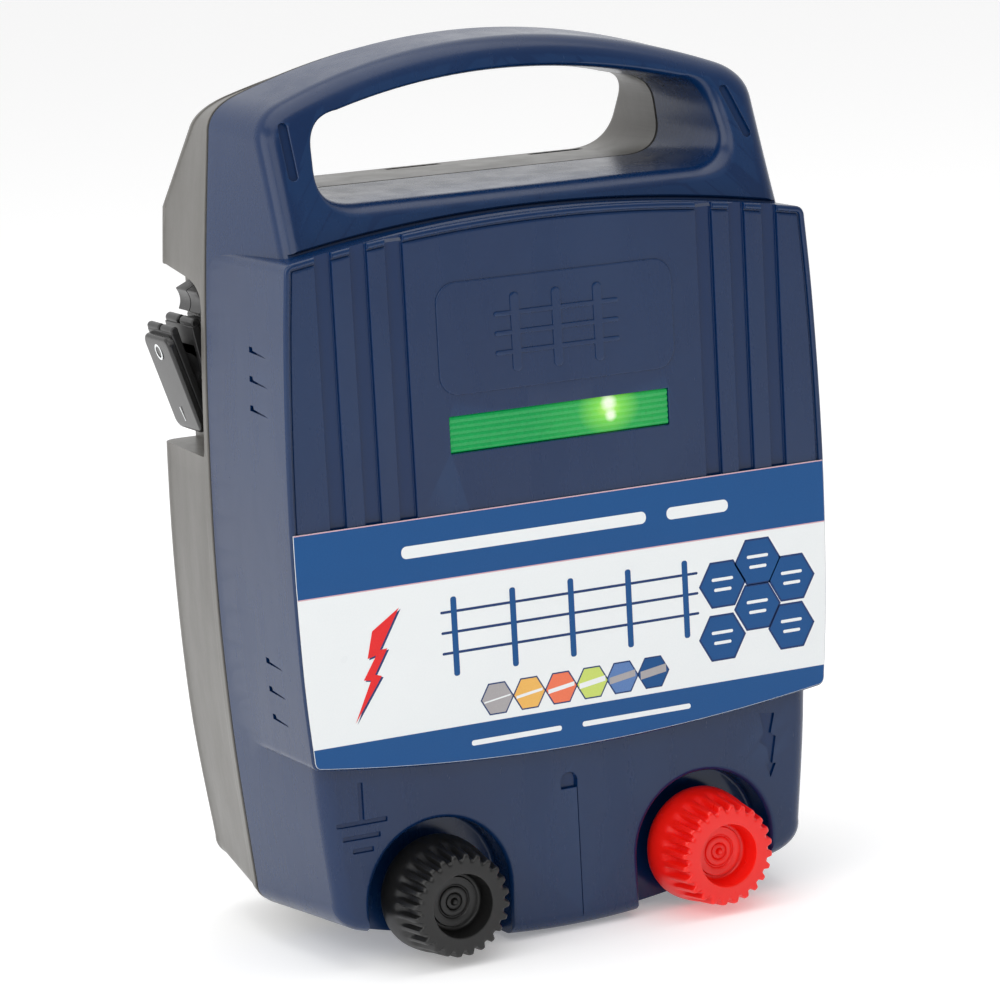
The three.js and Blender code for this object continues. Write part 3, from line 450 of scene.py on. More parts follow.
def rounded(x0, x1, z0, z1, r, steps=8):
    return (arc(x1 - r, z0 + r, r, -90, 0, steps) + [(x1, z0 + r)]
            + arc(x1 - r, z1 - r, r, 0, 90, steps) + [(x1 - r, z1)]
            + arc(x0 + r, z1 - r, r, 90, 180, steps) + [(x0, z1 - r)]
            + arc(x0 + r, z0 + r, r, 180, 270, steps) + [(x0 + r, z0)])


def inset(points, distance):
    """Moves each point of an anticlockwise outline inwards."""
    result, count = [], len(points)
    for i, (x, z) in enumerate(points):
        (x0, z0), (x1, z1) = points[i - 1], points[(i + 1) % count]
        along = Vector((x1 - x0, z1 - z0)).normalized()
        result.append((x - along.y * distance, z + along.x * distance))
    return result


def ordered_inset(points, distance):
    """An inset that goes deeper than the corners are round: its points keep their order."""
    moved, count = inset(points, distance), len(points)
    for _ in range(60):
        for i in range(count):
            j = (i + 1) % count
            along = Vector(points[j]) - Vector(points[i])
            if (Vector(moved[j]) - Vector(moved[i])).dot(along) <= 0:
                middle = (Vector(moved[i]) + Vector(moved[j])) / 2
                moved[i], moved[j] = tuple(middle - along * 0.02), tuple(middle + along * 0.02)
    return moved


def blend_outlines(a, b, t):
    return [(x0 + (x1 - x0) * t, z0 + (z1 - z0) * t) for (x0, z0), (x1, z1) in zip(a, b)]


def ring(points, y):
    """Stands an outline at a depth, which may depend on the height."""
    return [(x, y(z) if callable(y) else y, z) for x, z in points]


def prism(name, points, y0, y1, material):
    return loft(name, [ring(points, y0), ring(points, y1)], material)


def box(name, x0, x1, y0, y1, z0, z1, material):
    return prism(name, [(x0, z0), (x1, z0), (x1, z1), (x0, z1)], y0, y1, material)


def raised(name, points, y_back, y_front, radius, material, steps=4):
    """A flat-topped pad that stands forward, its front edge rounded."""
    rings = [ring(points, y_back)]
    for left, gone in quarter(steps):
        rings.append(ring(inset(points, radius * gone), y_front + radius * left))
    return loft(name, rings, material)


def sunk(name, points, y_face, y_floor, radius, material, steps=4):
    """A cutter for a pocket: flares at the face, so that the pocket's rim comes out rounded."""
    rings = [ring(inset(points, -radius), y_face - 3.0)]
    for left, gone in quarter(steps):
        rings.append(ring(inset(points, -radius * left), y_face + radius * gone))
    rings.append(ring(points, y_floor))
    return loft(name, rings, material)


# ---- outlines of the case
def mirrored(points):
    return [(-x, z) for x, z in reversed(points)]


def case_outline(bottom, bottom_x, bottom_z, sides, top_x, top_z, top):
    first, last = sides[0], sides[-1]
    half = (bend((bottom_x, bottom_z), (first[0] + 0.6, bottom_z + 3.5), first, 12)
            + spline(sides, 28)
            + bend(last, (last[0], top_z - 4), (top_x, top_z), 14))
    other = (bend((-top_x, top_z), (-last[0], top_z - 4), (-last[0], last[1]), 14)
             + spline(mirrored(sides), 28)
             + bend((-first[0], first[1]), (-first[0] - 0.6, bottom_z + 3.5), (-bottom_x, bottom_z), 12))
    return (bend((-bottom_x, bottom_z), (0, 2 * bottom - bottom_z), (bottom_x, bottom_z), 44) + half
            + bend((top_x, top_z), (0, 2 * top - top_z), (-top_x, top_z), 52) + other)


FRONT_OUTLINE = case_outline(
    -129.5, 82, -117,
    [(90.2, -106), (94.2, -64), (96.2, 0), (95.4, 60), (93.4, 112), (93, 146)], 82, 159, 174)
SEAM_OUTLINE = case_outline(
    -130.5, 84, -120,
    [(95, -110), (100.2, -56), (102.6, 0), (101.6, 60), (99, 106), (95.2, 148)], 84, 160.2, 175.4)
REAR_OUTLINE = case_outline(
    -124.5, 78, -114.5,
    [(90.6, -104), (96.8, -56), (99.4, 0), (98.4, 60), (95.7, 106), (92.4, 148)], 82, 159, 174)


PANEL_SIDE = [(98.2, -54.5), (100.1, -28), (101.1, 10), (100.7, 45), (99.3, 80), (97.4, 106)]


def side_at(z):
    """Half width of the panel's side wall at a height, close to its face."""
    for (w0, z0), (w1, z1) in zip(PANEL_SIDE, PANEL_SIDE[1:]):
        if z <= z1:
            return w0 + (w1 - w0) * (z - z0) / (z1 - z0)
    return PANEL_SIDE[-1][0]


def panel_outline(extra):
    right = [(w + extra, z) for w, z in PANEL_SIDE]
    low, high = (95.0 + extra, -58.3), (93.4 + extra, 110.2)
    left = mirrored(right)
    return (bend((-low[0], low[1]), (0, -130 - low[1]), low, 44)
            + bend(low, (right[0][0], low[1] + 0.2), right[0], 8)
            + spline(right, 30)
            + bend(right[-1], (right[-1][0], high[1] - 0.2), high, 8)
            + bend(high, (0, 236.4 - high[1]), (-high[0], high[1]), 44)
            + bend((-high[0], high[1]), (left[0][0], high[1] - 0.2), left[0], 8)
            + spline(left, 30)
            + bend(left[-1], (left[-1][0], low[1] + 0.2), (-low[0], low[1]), 8))


def opening_outline(grow, top_grow):
    w0, w1 = 75.2 + grow, 74.5 + grow
    low, top = 126.4 - grow, 162.6 + top_grow
    cx, cz = 62 + grow, 154.6 + top_grow * 0.8
    return (line((-62, low), (62, low), 12)
            + bend((62, low), (w0 + 1.36, low), (w0, 138), 14)
            + line((w0, 138), (w1, 144), 3)
            + bend((w1, 144), (w1 - 1.1, cz - 1.2), (cx, cz), 14)
            + bend((cx, cz), (0, 2 * top - cz), (-cx, cz), 40)
            + bend((-cx, cz), (-w1 + 1.1, cz - 1.2), (-w1, 144), 14)
            + line((-w1, 144), (-w0, 138), 3)
            + bend((-w0, 138), (-w0 - 1.36, low), (-62, low), 14))


def front_lean(z):
    return BODY_Y + LEAN * (z - LEAN_Z)


def rear_lean(z):
    return -SLOPE * (z - SLOPE_Z)


# ---- shells
def shell_half(name, face, joint, face_y, joint_y, margin, radius, material, rim=0.0):
    """Half a case from its rounded face to the joint. rim stands a low band beside the joint."""
    sign = 1 if joint_y > face_y(0) else -1
    lip = 0.5 if margin == 0 else 0.0
    rings = []
    for left, gone in quarter(8 if margin == 0 else 2):
        rings.append(ring(inset(face, margin + radius * left),
                          lambda z, d=margin + radius * gone: face_y(z) + sign * d))
    span = margin + radius
    stops = [(t, 0) for t in (0.03, 0.2, 0.4, 0.6, 0.8)]
    length = abs(joint_y - face_y(0)) - span
    if rim:
        stops += [(1 - 5.4 / length, 0), (1 - 5.0 / length, rim * 0.2), (1 - 4.6 / length, rim * 0.85),
                  (1 - 4.2 / length, rim), (1 - 1.2 / length, rim)]
    for t, out in stops:
        between = blend_outlines(inset(face, margin), inset(joint, margin), t)
        rings.append(ring(inset(between, rim - out),
                          lambda z, t=t: (face_y(z) + sign * span) * (1 - t) + joint_y * t))
    if lip:
        for left, gone in quarter(3):
            rings.append(ring(inset(joint, lip * gone), joint_y - sign * lip * left))
    else:
        rings.append(ring(inset(joint, margin), joint_y))
    return loft(name, rings, material)


def case_body(outline, flat_y, lean, joint, margin, material, rim=0.0):
    """A case half between its flat face and its leaning one. margin brings every wall inwards."""
    halves = [shell_half("case_half", outline, SEAM_OUTLINE, face_y, joint, margin, EDGE_R - margin,
                         material, rim) for face_y in (lambda z: flat_y, lean)]
    return boolean(halves[0], "INTERSECT", halves[1])


def front_body(margin, joint):
    return case_body(FRONT_OUTLINE, BODY_Y, front_lean, joint, margin, NAVY)


def rear_body(margin, joint, rim=0.0):
    return case_body(REAR_OUTLINE, 0.0, rear_lean, joint, margin, GREY, rim)


def panel_block():
    """Raised panel: rounded outer edge, a fine groove beside it and a flat face inside that."""
    outline = panel_outline(0)
    rings = [ring(ordered_inset(outline, shrink), PANEL_Y + drop) for shrink, drop in
             ((3.7, FACE_DROP), (3.3, FACE_DROP), (3.05, 0.5), (2.85, 0.62), (2.72, 0.82), (2.62, 1.1),
              (2.35, 1.15), (2.1, 1.1), (2.0, 0.7), (1.9, 0.35), (1.75, 0.14), (1.5, 0.02), (1.2, 0.0))]
    for left, gone in quarter(6)[1:]:
        rings.append(ring(inset(outline, PANEL_R * left), PANEL_Y + PANEL_R * gone))
    start, stop = PANEL_Y + PANEL_R, SEAM_Y - SEAM_HALF - 0.2
    for t in (0.05, 0.3, 0.6, 1.0):
        rings.append(ring(panel_outline(1.2 * t), start + (stop - start) * t))
    return loft("panel_block", rings, NAVY)


def panel_top_groove():
    """Channel across the case just above the raised panel, open at both ends."""
    low = bend((-105, 107.1), (0, 127.3), (105, 107.1), 60) + [(105, 107.1)]
    high = bend((-105, 109.2), (0, 129.6), (105, 109.2), 60) + [(105, 109.2)]
    flared = bend((-105, 109.7), (0, 130.1), (105, 109.7), 60) + [(105, 109.7)]
    rings = [ring(low + list(reversed(edge)), lambda z, d=deep: front_lean(z) + d)
             for edge, deep in ((flared, -4.0), (flared, 0.0), (high, 0.5), (high, 1.6))]
    return loft("top_groove", rings, NAVY)


def opening_space(margin, material):
    """The handle opening, its edges widely rounded at the front and a little at the back."""
    def at(grow, top_grow, y, share=0.0):
        moved = [(px + FLARE_SHIFT[0] * share, pz + FLARE_SHIFT[1] * share)
                 for px, pz in opening_outline(grow, top_grow)]
        return ring(inset(moved, -margin), y)

    rings = [at(12, 8, lambda z: front_lean(z) - 8, 1.0)]
    for left, gone in quarter(8):
        rings.append(at(0.9 + 3.4 * left, 0.9 + 3.0 * left,
                        lambda z, d=5.5 * gone: front_lean(z) + d, 0.2 + 0.8 * left))
    rings.append(at(0, 0, SEAM_Y))
    for left, gone in reversed(quarter(6)):
        rings.append(at(0.8 + 2.8 * left, 0.3 + 1.8 * left,
                        lambda z, d=3.5 * gone: min(rear_lean(z), 0) - d))
    rings.append(at(11, 7, lambda z: min(rear_lean(z), 0) + 8))
    return loft("opening_space", rings, material)


def recess_points(x, grow):
    r, z = RECESS_R + grow, TERMINAL_Z
    return [(x - r, -150), (x + r, -150)] + arc(x, z, r, 0, 180, 40) + [(x - r, z)]


def terminal_recess(x):
    """Cutter for a terminal's recess: rounded where it leaves the face and where it meets its floor."""
    rim, foot = 1.8, 1.2
    rings = [ring(recess_points(x, rim), BODY_Y - 8)]
    rings += [ring(recess_points(x, rim * left), BODY_Y + rim * gone) for left, gone in quarter(6)]
    rings += [ring(recess_points(x, -foot * gone), RECESS_FLOOR_Y - foot * left)
              for left, gone in quarter(4)]
    return loft("recess", rings, NAVY_GLOSS)


def groove(x0, x1):
    """One flute of the panel, open at the top, with eased edges."""
    r, depth, face = 0.3, 1.5, FACE_Y
    section = [(x0 - r, face - 2), (x0 - r, face)]
    section += [(x0 - r + r * math.sin(a), face + r * (1 - math.cos(a))) for a in (0.5, 1.0, 1.57)]
    section += [(x0, face + depth - r), (x0 + r * 0.3, face + depth - r * 0.3), (x0 + r, face + depth)]
    other = [(x0 + x1 - x, y) for x, y in reversed(section)]
    low, high = LABEL_TOP - 1.2, 130.0
    return loft("groove", [[(x, y, low) for x, y in section + other],
                           [(x, y, high) for x, y in section + other]], NAVY_GLOSS)


def fence_motif(z, size):
    """A plain pictogram moulded on the panel: three posts and three wires. Gives separate bars."""
    bars = [(i * size, i * size, z - size * 0.75, z + size * 0.75, size * 0.11) for i in (-1, 0, 1)]
    bars += [(-size * 1.45, size * 1.45, z + i * size * 0.42, z + i * size * 0.42, size * 0.055)
             for i in (-1, 0, 1)]
    return [raised("motif", rounded(x0 - half, x1 + half, z0 - half, z1 + half, half * 0.9, 3),
                   FACE_Y, FACE_Y - 0.95, 0.3, NAVY, 2) for x0, x1, z0, z1, half in bars]


EARTH_BARS = [(-80.6, -78.8, -79, -65.5), (-89, -70.4, -80, -78.4), (-87, -73.2, -84.8, -83.2),
              (-83.6, -76, -89.4, -87.8)]
BOLT_MARK = [(73.6, -65.4), (75.1, -72.8), (73.1, -75.6), (76.3, -78.2), (76.7, -83.8), (75.5, -83.9),
             (77.2, -89), (79.5, -84.1), (78.1, -84), (79.9, -74.6), (77.9, -73.2), (79.7, -66.2)]


def side_louvre(side, z):
    """A small dark notch with a thin line that fades forwards."""
    surface = side_at(z) + 0.45
    notch = [(-84.6, z + 1.0, 1.9), (-84.6, z - 0.9, 1.9), (-86.8, z - 0.9, 1.6), (-87.4, z + 0.1, 1.5),
             (-86.8, z + 1.0, 1.6)]
    streak = [(-85.0, z + 0.1, 1.3), (-85.0, z - 0.9, 1.3), (-99.5, z - 1.9, -0.05),
              (-99.5, z - 1.6, -0.05)]
    made = []
    for points in (notch, streak):
        outer = [(side * (surface + 4), y, h) for y, h, _ in points]
        inner = [(side * (surface - deep), y, h) for y, h, deep in points]
        made.append(loft("louvre", [outer, inner], NAVY_GLOSS))
    return made


def handle_slot(x, z, turn):
    """Shallow finger slot on an upright of the handle, square to its leaning face."""
    slot = sunk("slot", rounded(-1.6, 1.6, -9.9, 9.9, 1.5, 6), 0.0, 1.1, 0.35, NAVY, 3)
    turned = Matrix.Rotation(-math.atan(LEAN), 4, "X") @ Matrix.Rotation(turn, 4, "Y")
    slot.data.transform(Matrix.Translation(Vector((x, front_lean(z), z)) * MM) @ turned)
    return slot


def make_front_shell():
    joint = SEAM_Y - SEAM_HALF
    shell = join(cut(front_body(0, joint), panel_top_groove()), panel_block())
    plate = raised("plate", rounded(-44.2, 44.2, 60.4, 98, 7, 10), FACE_Y + 1, FACE_Y - 0.55, 0.4, NAVY)
    join(shell, plate)
    join(shell, *fence_motif(79.2, 15.5))
    hollow = front_body(WALL, joint + 1)
    cut(hollow, opening_space(WALL, NAVY))
    for x in (EARTH_X, FENCE_X):
        cut(hollow, prism("recess_wall", recess_points(x, WALL), BODY_Y - 2, RECESS_FLOOR_Y + WALL, NAVY))
    cut(shell, hollow, opening_space(0, NAVY))
    for x in (EARTH_X, FENCE_X):
        cut(shell, terminal_recess(x), prism("stud_hole", arc(x, TERMINAL_Z, 6.6, 0, 360, 32),
                                             RECESS_FLOOR_Y - 1, RECESS_FLOOR_Y + 8, NAVY))
    for side in (-1, 1):
        for outer, inner in FLUTES:
            cut(shell, groove(*sorted((side * outer, side * inner))))
        for z in LOUVRE_Z:
            cut(shell, *side_louvre(side, z))
    for x, z, turn in HANDLE_SLOTS:
        cut(shell, handle_slot(x, z, turn))
    window = rounded(LENS_LOW.x - 0.3, LENS_HIGH.x + 0.3, LENS_LOW.z - 0.3, LENS_HIGH.z + 0.3, 0.4, 3)
    cut(shell, sunk("window", window, FACE_Y, PANEL_Y + 9, 0.35, NAVY, 3))
    for x0, x1, z0, z1 in EARTH_BARS:
        cut(shell, sunk("earth_bar", rounded(x0, x1, z0, z1, 0.3, 2), BODY_Y, BODY_Y + 0.8, 0.15,
                        NAVY_GLOSS, 2))
    cut(shell, prism("bolt_mark", BOLT_MARK, BODY_Y - 1, BODY_Y + 0.8, NAVY_GLOSS))
    dimple = arc(-1.8, -77.6, 3.1, 0, 180, 20) + [(-4.9, -77.6), (-4.9, -79.9), (1.3, -79.9)]
    cut(shell, sunk("dimple", dimple, BODY_Y, BODY_Y + 1.5, 0.3, NAVY_GLOSS, 3),
        box("channel", 1.0, 1.35, BODY_Y - 2, BODY_Y + 0.45, -140, -79.5, NAVY_GLOSS))
    shell.name = "case_front"
    finish_surface(shell)
    return place(shell, "case", "shell_navy", "front_shell")


def pocket_points(grow):
    """The switch pocket's outline in (y, z)."""
    low, y = POCKET_LOW - grow, POCKET_Y - grow
    (back_y, back_z), (corner_y, corner_z), (_, side_z) = POCKET_TOP
    return (bend((y, low + 3), (y, low), (y + 3, low), 8)
            + [(y + 3, low), (back_y, low), (back_y, back_z + grow)]
            + bend((corner_y, corner_z + grow), (y, corner_z + grow - 1.6), (y, side_z), 16)
            + [(y, side_z)])


def pocket_space(grow, x_floor, material):
    """Cutter for the switch pocket, with a small rounding where it meets the floor."""
    points = pocket_points(grow)
    rings = [[(x, y, z) for y, z in points] for x in (-130, x_floor - 1.0)]
    for angle in (30, 60, 90):
        a = math.radians(angle)
        rings.append([(x_floor - 1.0 + math.sin(a), y + (0.9 * (1 - math.cos(a)) if y < 0 else 0), z)
                      for y, z in points])
    return loft("pocket", rings, material)


def make_rear_shell():
    joint = SEAM_Y + SEAM_HALF
    hollow = rear_body(WALL, joint - 1)
    cut(hollow, opening_space(WALL, GREY), pocket_space(WALL, POCKET_X + WALL, GREY))
    screws = [(side * x, z) for side in (-1, 1) for x, z in CASE_SCREWS]
    for x, z in screws:
        cut(hollow, prism("post", arc(x, z, 6.2, 0, 360, 32), SEAM_Y - 2, 2, GREY))
    shell = cut(rear_body(0, joint, 0.4), hollow, opening_space(0, GREY),
                pocket_space(0, POCKET_X, GREY))
    for x, z in screws:
        cut(shell, prism("counterbore", arc(x, z, 3.8, 0, 360, 32), -40, 4, GREY),
            prism("screw_hole", arc(x, z, 1.9, 0, 360, 24), SEAM_Y - 2, -39, GREY))
    cut(shell, box("barrel_hole", PIVOT.x, POCKET_X + 6, -35, -11, PIVOT.z - 15, PIVOT.z + 15, GREY))
    for side in (-1, 1):
        x, z = side * 50.0, 66.0
        key = arc(x, z, 5, 149, 391, 26) + arc(x, z + 9, 2.6, 0, 180, 14)
        cut(shell, box("chamber", x - 6, x + 6, -8, -WALL, z - 6, z + 14, GREY),
            prism("keyhole", key, -4, 3, GREY))
    cut(shell, prism("plate_seat", rounded(-44, 44, -88, -34, 3, 6), -1, 3, GREY))
    # The slits' walls take the black material: painted shade inside the slits.
    for x in (-2.5, 54):
        cut(shell, box("ledge_slit", x - 10.5, x + 10.5, -14.5, -10.5, 124.6, 140, BLACK))
    shell.name = "case_rear"
    finish_surface(shell)
    return place(shell, "case", "shell_grey", "rear_shell")


# ---- label and its print
def sheet_between(name, low, high, y_front, y_back, material, margin):
    """Part of the label's outline between two heights, as a thin sheet."""
    sheet = prism(name, inset(panel_outline(0), margin), y_front, y_back, material)
    band = box("band", -130, 130, y_front - 1, y_back + 1, low, high, material)
    return boolean(sheet, "INTERSECT", band)


def hexagon(x, z, radius):
    return [(x + radius * math.cos(math.radians(60 * i)), z + radius * math.sin(math.radians(60 * i)))
            for i in range(6)]


def ink(name, points, material, layer=1):
    """A printed shape: layer says how many inks lie under it."""
    y = LABEL_FRONT - INK * layer
    return place(prism(name, points, y - INK, y, material), "case", "label_print")


def make_label():
    base = sheet_between("label_sheet", LABEL_LOW, LABEL_TOP, LABEL_FRONT, PANEL_Y - 0.03, WHITE_INK, 0.8)
    finish_surface(base)
    place(base, "case", "label_print", "front_label")
    bands = (("label_blue_top", BAND_TOP, LABEL_TOP - 0.35, BLUE_INK),
             ("label_blue_low", LABEL_LOW, BAND_LOW, BLUE_INK),
             ("label_edge_top", LABEL_TOP - 0.35, LABEL_TOP, PINK_INK),
             ("label_edge_low", BAND_TOP - 0.4, BAND_TOP, PINK_INK))
    for name, low, high, material in bands:
        band = sheet_between(name, low, high, LABEL_FRONT - INK, LABEL_FRONT, material, 0.9)
        place(finish_surface(band), "case", "label_print")
    bolt = [(-64, -7.4), (-74.2, -14), (-76.4, -23), (-73.2, -22.2), (-78.2, -30), (-75.6, -30.4),
            (-82, -44), (-71.6, -29.4), (-74, -28.6), (-69, -20.4), (-71.8, -20.6)]
    ink("label_bolt", bolt, RED_INK)
    ink("label_bolt_shade", [(x + 0.6, z - 0.5) for x, z in bolt], NAVY_INK, 0)
    centres = [(72.8, -10.6), (58.6, -16.7), (86.0, -18.1), (72.0, -26.4), (57.7, -35.2), (85.2, -35.0)]
    for i, (x, z) in enumerate(centres):
        ink(f"label_cell_{i + 1}_rim", hexagon(x, z, 9.3), NAVY_INK, 0)
        ink(f"label_cell_{i + 1}", hexagon(x, z, 8.5), BLUE_INK, 1)
        for row, width in ((1.8, 4.2), (-1.8, 3.4)):
            ink(f"label_cell_{i + 1}_line_{'top' if row > 0 else 'low'}",
                rounded(x - width, x + width, z + row - 0.55, z + row + 0.55, 0.5, 3), WHITE_INK, 2)
    for i, x in enumerate((-44, -22, 0, 22, 44)):
        ink(f"label_post_{i + 1}", rounded(x - 1.1, x + 1.1, -33.5, -6.5, 0.9, 4), BLUE_INK, 1)
    for i, z in enumerate((-11.5, -18.5, -25.5)):
        ink(f"label_strand_{i + 1}", rounded(-49, 49, z - 0.45, z + 0.45, 0.4, 3), NAVY_INK, 0)
    for name, x0, x1, z0, z1 in (("wide", -62, 30, 8.4, 12.6), ("short", 38, 62, 8.4, 12.6),
                                 ("low_left", -40, -6, -58.2, -56.4), ("low_right", 2, 44, -58.2, -56.4)):
        ink(f"label_bar_{name}", rounded(x0, x1, z0, z1, (z1 - z0) * 0.45, 5), WHITE_INK, 1)
    row = ((-29.6, GREY_INK), (-17.5, ORANGE_INK), (-5.4, CORAL_INK), (6.5, LIME_INK),
           (18.1, SKY_INK), (30.1, BLUE_INK))
    for i, (x, material) in enumerate(row):
        ink(f"label_wire_{i + 1}_rim", hexagon(x, -43.4, 6.3), NAVY_INK, 0)
        ink(f"label_wire_{i + 1}", hexagon(x, -43.4, 5.75), material, 1)
        half = 0.35 + 0.3 * i
        strip = [(x - 5.0, -44.4 - half * 0.5), (x + 5.0, -42.9 - half * 0.5), (x + 5.0, -42.9 + half),
                 (x - 5.0, -44.4 + half)]
        ink(f"label_wire_{i + 1}_strand", strip, WHITE_INK if i < 4 else GREY_INK, 2)


# ---- display
def make_lens():
    """Ribbed lens: six rounded ribs along its length."""
    z0, z1 = LENS_LOW.z, LENS_HIGH.z
    ribs, section = 6, [(PANEL_Y + 3.6, z0)]
    pitch = (z1 - z0) / ribs
    for i in range(ribs):
        for t in (0.04, 0.2, 0.4, 0.6, 0.8, 0.96):
            bulge = 0.55 * math.sin(math.pi * t) ** 0.6
            section.append((PANEL_Y + 1.5 - bulge, z0 + pitch * (i + t)))
    section.append((PANEL_Y + 3.6, z1))
    stations = [LENS_LOW.x + (LENS_HIGH.x - LENS_LOW.x) * k / 12 for k in range(13)]
    lens = loft("display_window", [[(x, y, z) for y, z in section] for x in stations], LENS)
    finish_surface(lens, 50)
    return place(lens, "case", "lens_green", "display_lens")


# ---- terminal knobs
def make_knob(name, node, body, slot, material):
    """Bell-shaped hand knob: smooth back, ribs that deepen towards the rim, stepped hollow."""
    low, high = node_box(node)
    x, z = (low.x + high.x) / 2, (low.z + high.z) / 2
    front, back = low.y, high.y
    length, scale = back - front, (high.x - low.x) / 2 / 20.2
    ribs, per_rib, depth = 24, 12, 1.8
    outer = [(18.9, 0.0), (19.6, 0.12), (20.05, 0.5), (20.2, 1.3), (20.15, 2.6), (20.0, 4.5), (19.75, 6.6),
             (19.4, 8.4), (19.1, 9.8), (18.95, 10.8), (18.85, 11.8), (18.75, 12.8), (18.6, 14.4),
             (18.4, 16.2), (18.2, 18.0), (18.0, 19.8), (17.8, 21.2), (17.6, 21.8), (17.25, 22.25),
             (16.8, 22.5), (16.4, length)]

    def groove_depth(along):
        share = (along / length - 0.42) / 0.22
        return depth * min(1.0, share) ** 0.7 if share > 0 else 0.0

    hollow = [(14.0, 0.0), (11.4, 0.0), (11.0, 0.2), (10.8, 0.7), (10.5, 3.5), (10.2, 6.6), (9.9, 7.6),
              (9.3, 8.0), (8.8, 8.0), (8.6, 7.4), (8.4, 7.05), (6.2, 7.0), (5.9, 7.15), (5.6, 7.6),
              (5.35, 7.6), (5.1, 7.15), (4.9, 7.0), (3.3, 7.0), (3.05, 7.15), (2.85, 7.5), (2.65, 7.15),
              (2.4, 7.0), (1.4, 7.0), (1.15, 6.6), (1.0, 5.9), (0.7, 5.6), (0.3, 5.55)]
    rows = [(r * scale, back - along, groove_depth(along)) for r, along in outer]
    rows += [(r * scale, front + deep, 0.0) for r, deep in hollow]
    sides = ribs * per_rib
    points, faces = [], []
    for r, y, dig in rows:
        for i in range(sides):
            phase = (i % per_rib) / per_rib
            tooth = min(1.0, max(0.0, 0.5 - 0.85 * math.cos(2 * math.pi * phase)))
            angle = 2 * math.pi * i / sides
            radius = r - dig * (1 - tooth)
            points.append((x + radius * math.cos(angle), y, z + radius * math.sin(angle)))
    for r in range(len(rows) - 1):
        for i in range(sides):
            a, b = r * sides + i, r * sides + (i + 1) % sides
            faces.append((a, b, b + sides, a + sides))
    faces.append(tuple(range(sides)))
    faces.append(tuple(range((len(rows) - 1) * sides, len(rows) * sides)))
    knob = mesh_object(name, points, faces, material)
    skirt = loft("skirt", [ring(arc(x, z, 15.4, 0, 360, 48), back - 9.5),
                           ring(arc(x, z, 17.6, 0, 360, 48), back + 1)], material)
    cut(knob, cut(skirt, prism("hub", arc(x, z, 12.4, 0, 360, 48), back - 12, back + 3, material)))
    bore = prism("bore", arc(x, z, 4.4, 0, 360, 32), front + 11.0, back + 2, material)
    cut(knob, bore)
    finish_surface(knob, 40)
    return place(knob, body, slot, node)


# ---- rocker switch
def switch_frame(extra=0.0):
    """Turns the switch's own axes into the case's. Its own are: +X inwards, +Z up, pin at the origin."""
    return Matrix.Translation(PIVOT * MM) @ Matrix.Rotation(SWITCH_TILT + extra, 4, "Y")


def slab(name, points, half, round_r, material):
    """A plate drawn in (x, z), 2 * half wide, with its edges rounded."""
    plate = prism(name, points, -half, half, material)
    return apply_modifier(plate, "BEVEL", width=round_r * MM, segments=3, limit_method="ANGLE",
                          angle_limit=math.radians(30), use_clamp_overlap=True)


def lug(x, z, y0, y1, radius, material):
    """Round-ended lug across the top of a plate."""
    rings = []
    for y, r in ((y0, 0.72), (y0 + 0.25, 0.92), (y0 + 0.7, 1.0), (y1 - 0.7, 1.0), (y1 - 0.25, 0.92),
                 (y1, 0.72)):
        rings.append([(px, y, pz) for px, pz in arc(x, z, radius * r, 0, 360, 20)])
    return loft("lug", rings, material)


def bowed(points, x):
    """Stands an outline drawn in (y, z) on the rocker's hollow face."""
    return [(x + 0.0022 * z * z, y, z) for y, z in points]


def make_rocker():
    """Bowed face plate with rounded corners, a second plate behind it, and the stem."""
    outline = rounded(-11, 11, -17.8, 17.8, 3.4, 6)
    rings = [bowed(inset(outline, 1.3 * left), -9.1 + 1.1 * gone) for left, gone in quarter(6)]
    rings += [bowed(outline, -6.6), bowed(inset(outline, 0.6), -6.2)]
    face = loft("rocker_face", rings, GLOSS_BLACK)
    face.data.transform(switch_frame(ROCKER_TILT))
    finish_surface(face, 40)
    place(face, "switch_rocker", "rocker_black", "rocker")
    second = slab("rocker_plate", [(-5.9, 19.0), (-5.9, -16.0), (-3.6, -16.0), (-3.0, 19.0)], 10.7,
                  0.5, BLACK)
    for y0, y1 in ((-10.8, -0.7), (0.7, 10.8)):
        join(second, lug(-4.3, 19.2, y0, y1, 1.45, BLACK))
    join(second, prism("stem", [(-5, 11), (-5, -11), (-1, -9), (2.4, -2.6), (2.4, 2.6), (-1, 9)],
                       -9.2, 9.2, BLACK))
    cut(second, prism("pin_bore", arc(0, 0, 1.7, 0, 360, 20), -12, 12, BLACK))
    second.data.transform(switch_frame(ROCKER_TILT))
    finish_surface(second, 35)
    place(second, "switch_rocker", "rocker_black")
    sides, ink_x = 48, -9.14
    edges = [(y, 12.2 + 1.05 * z) for radius in (2.75, 2.0) for y, z in arc(0, 0, radius, 0, 360, sides)]
    faces = [(i, (i + 1) % sides, sides + (i + 1) % sides, sides + i) for i in range(sides)]
    circle = mesh_object("rocker_mark_off", bowed(edges, ink_x), faces, WHITE_INK)
    strip = ((-0.3, -8.6), (0.3, -8.6), (0.3, -14.0), (-0.3, -14.0))
    bar = mesh_object("rocker_mark_on", bowed(strip, ink_x), [(0, 1, 2, 3)], WHITE_INK)
    for mark in (circle, bar):
        solid = mark.modifiers.new("ink", "SOLIDIFY")
        solid.thickness = 0.05 * MM
        solid.offset = 0
        mark.data.transform(switch_frame(ROCKER_TILT))
        place(mark, "switch_rocker", "rocker_black")


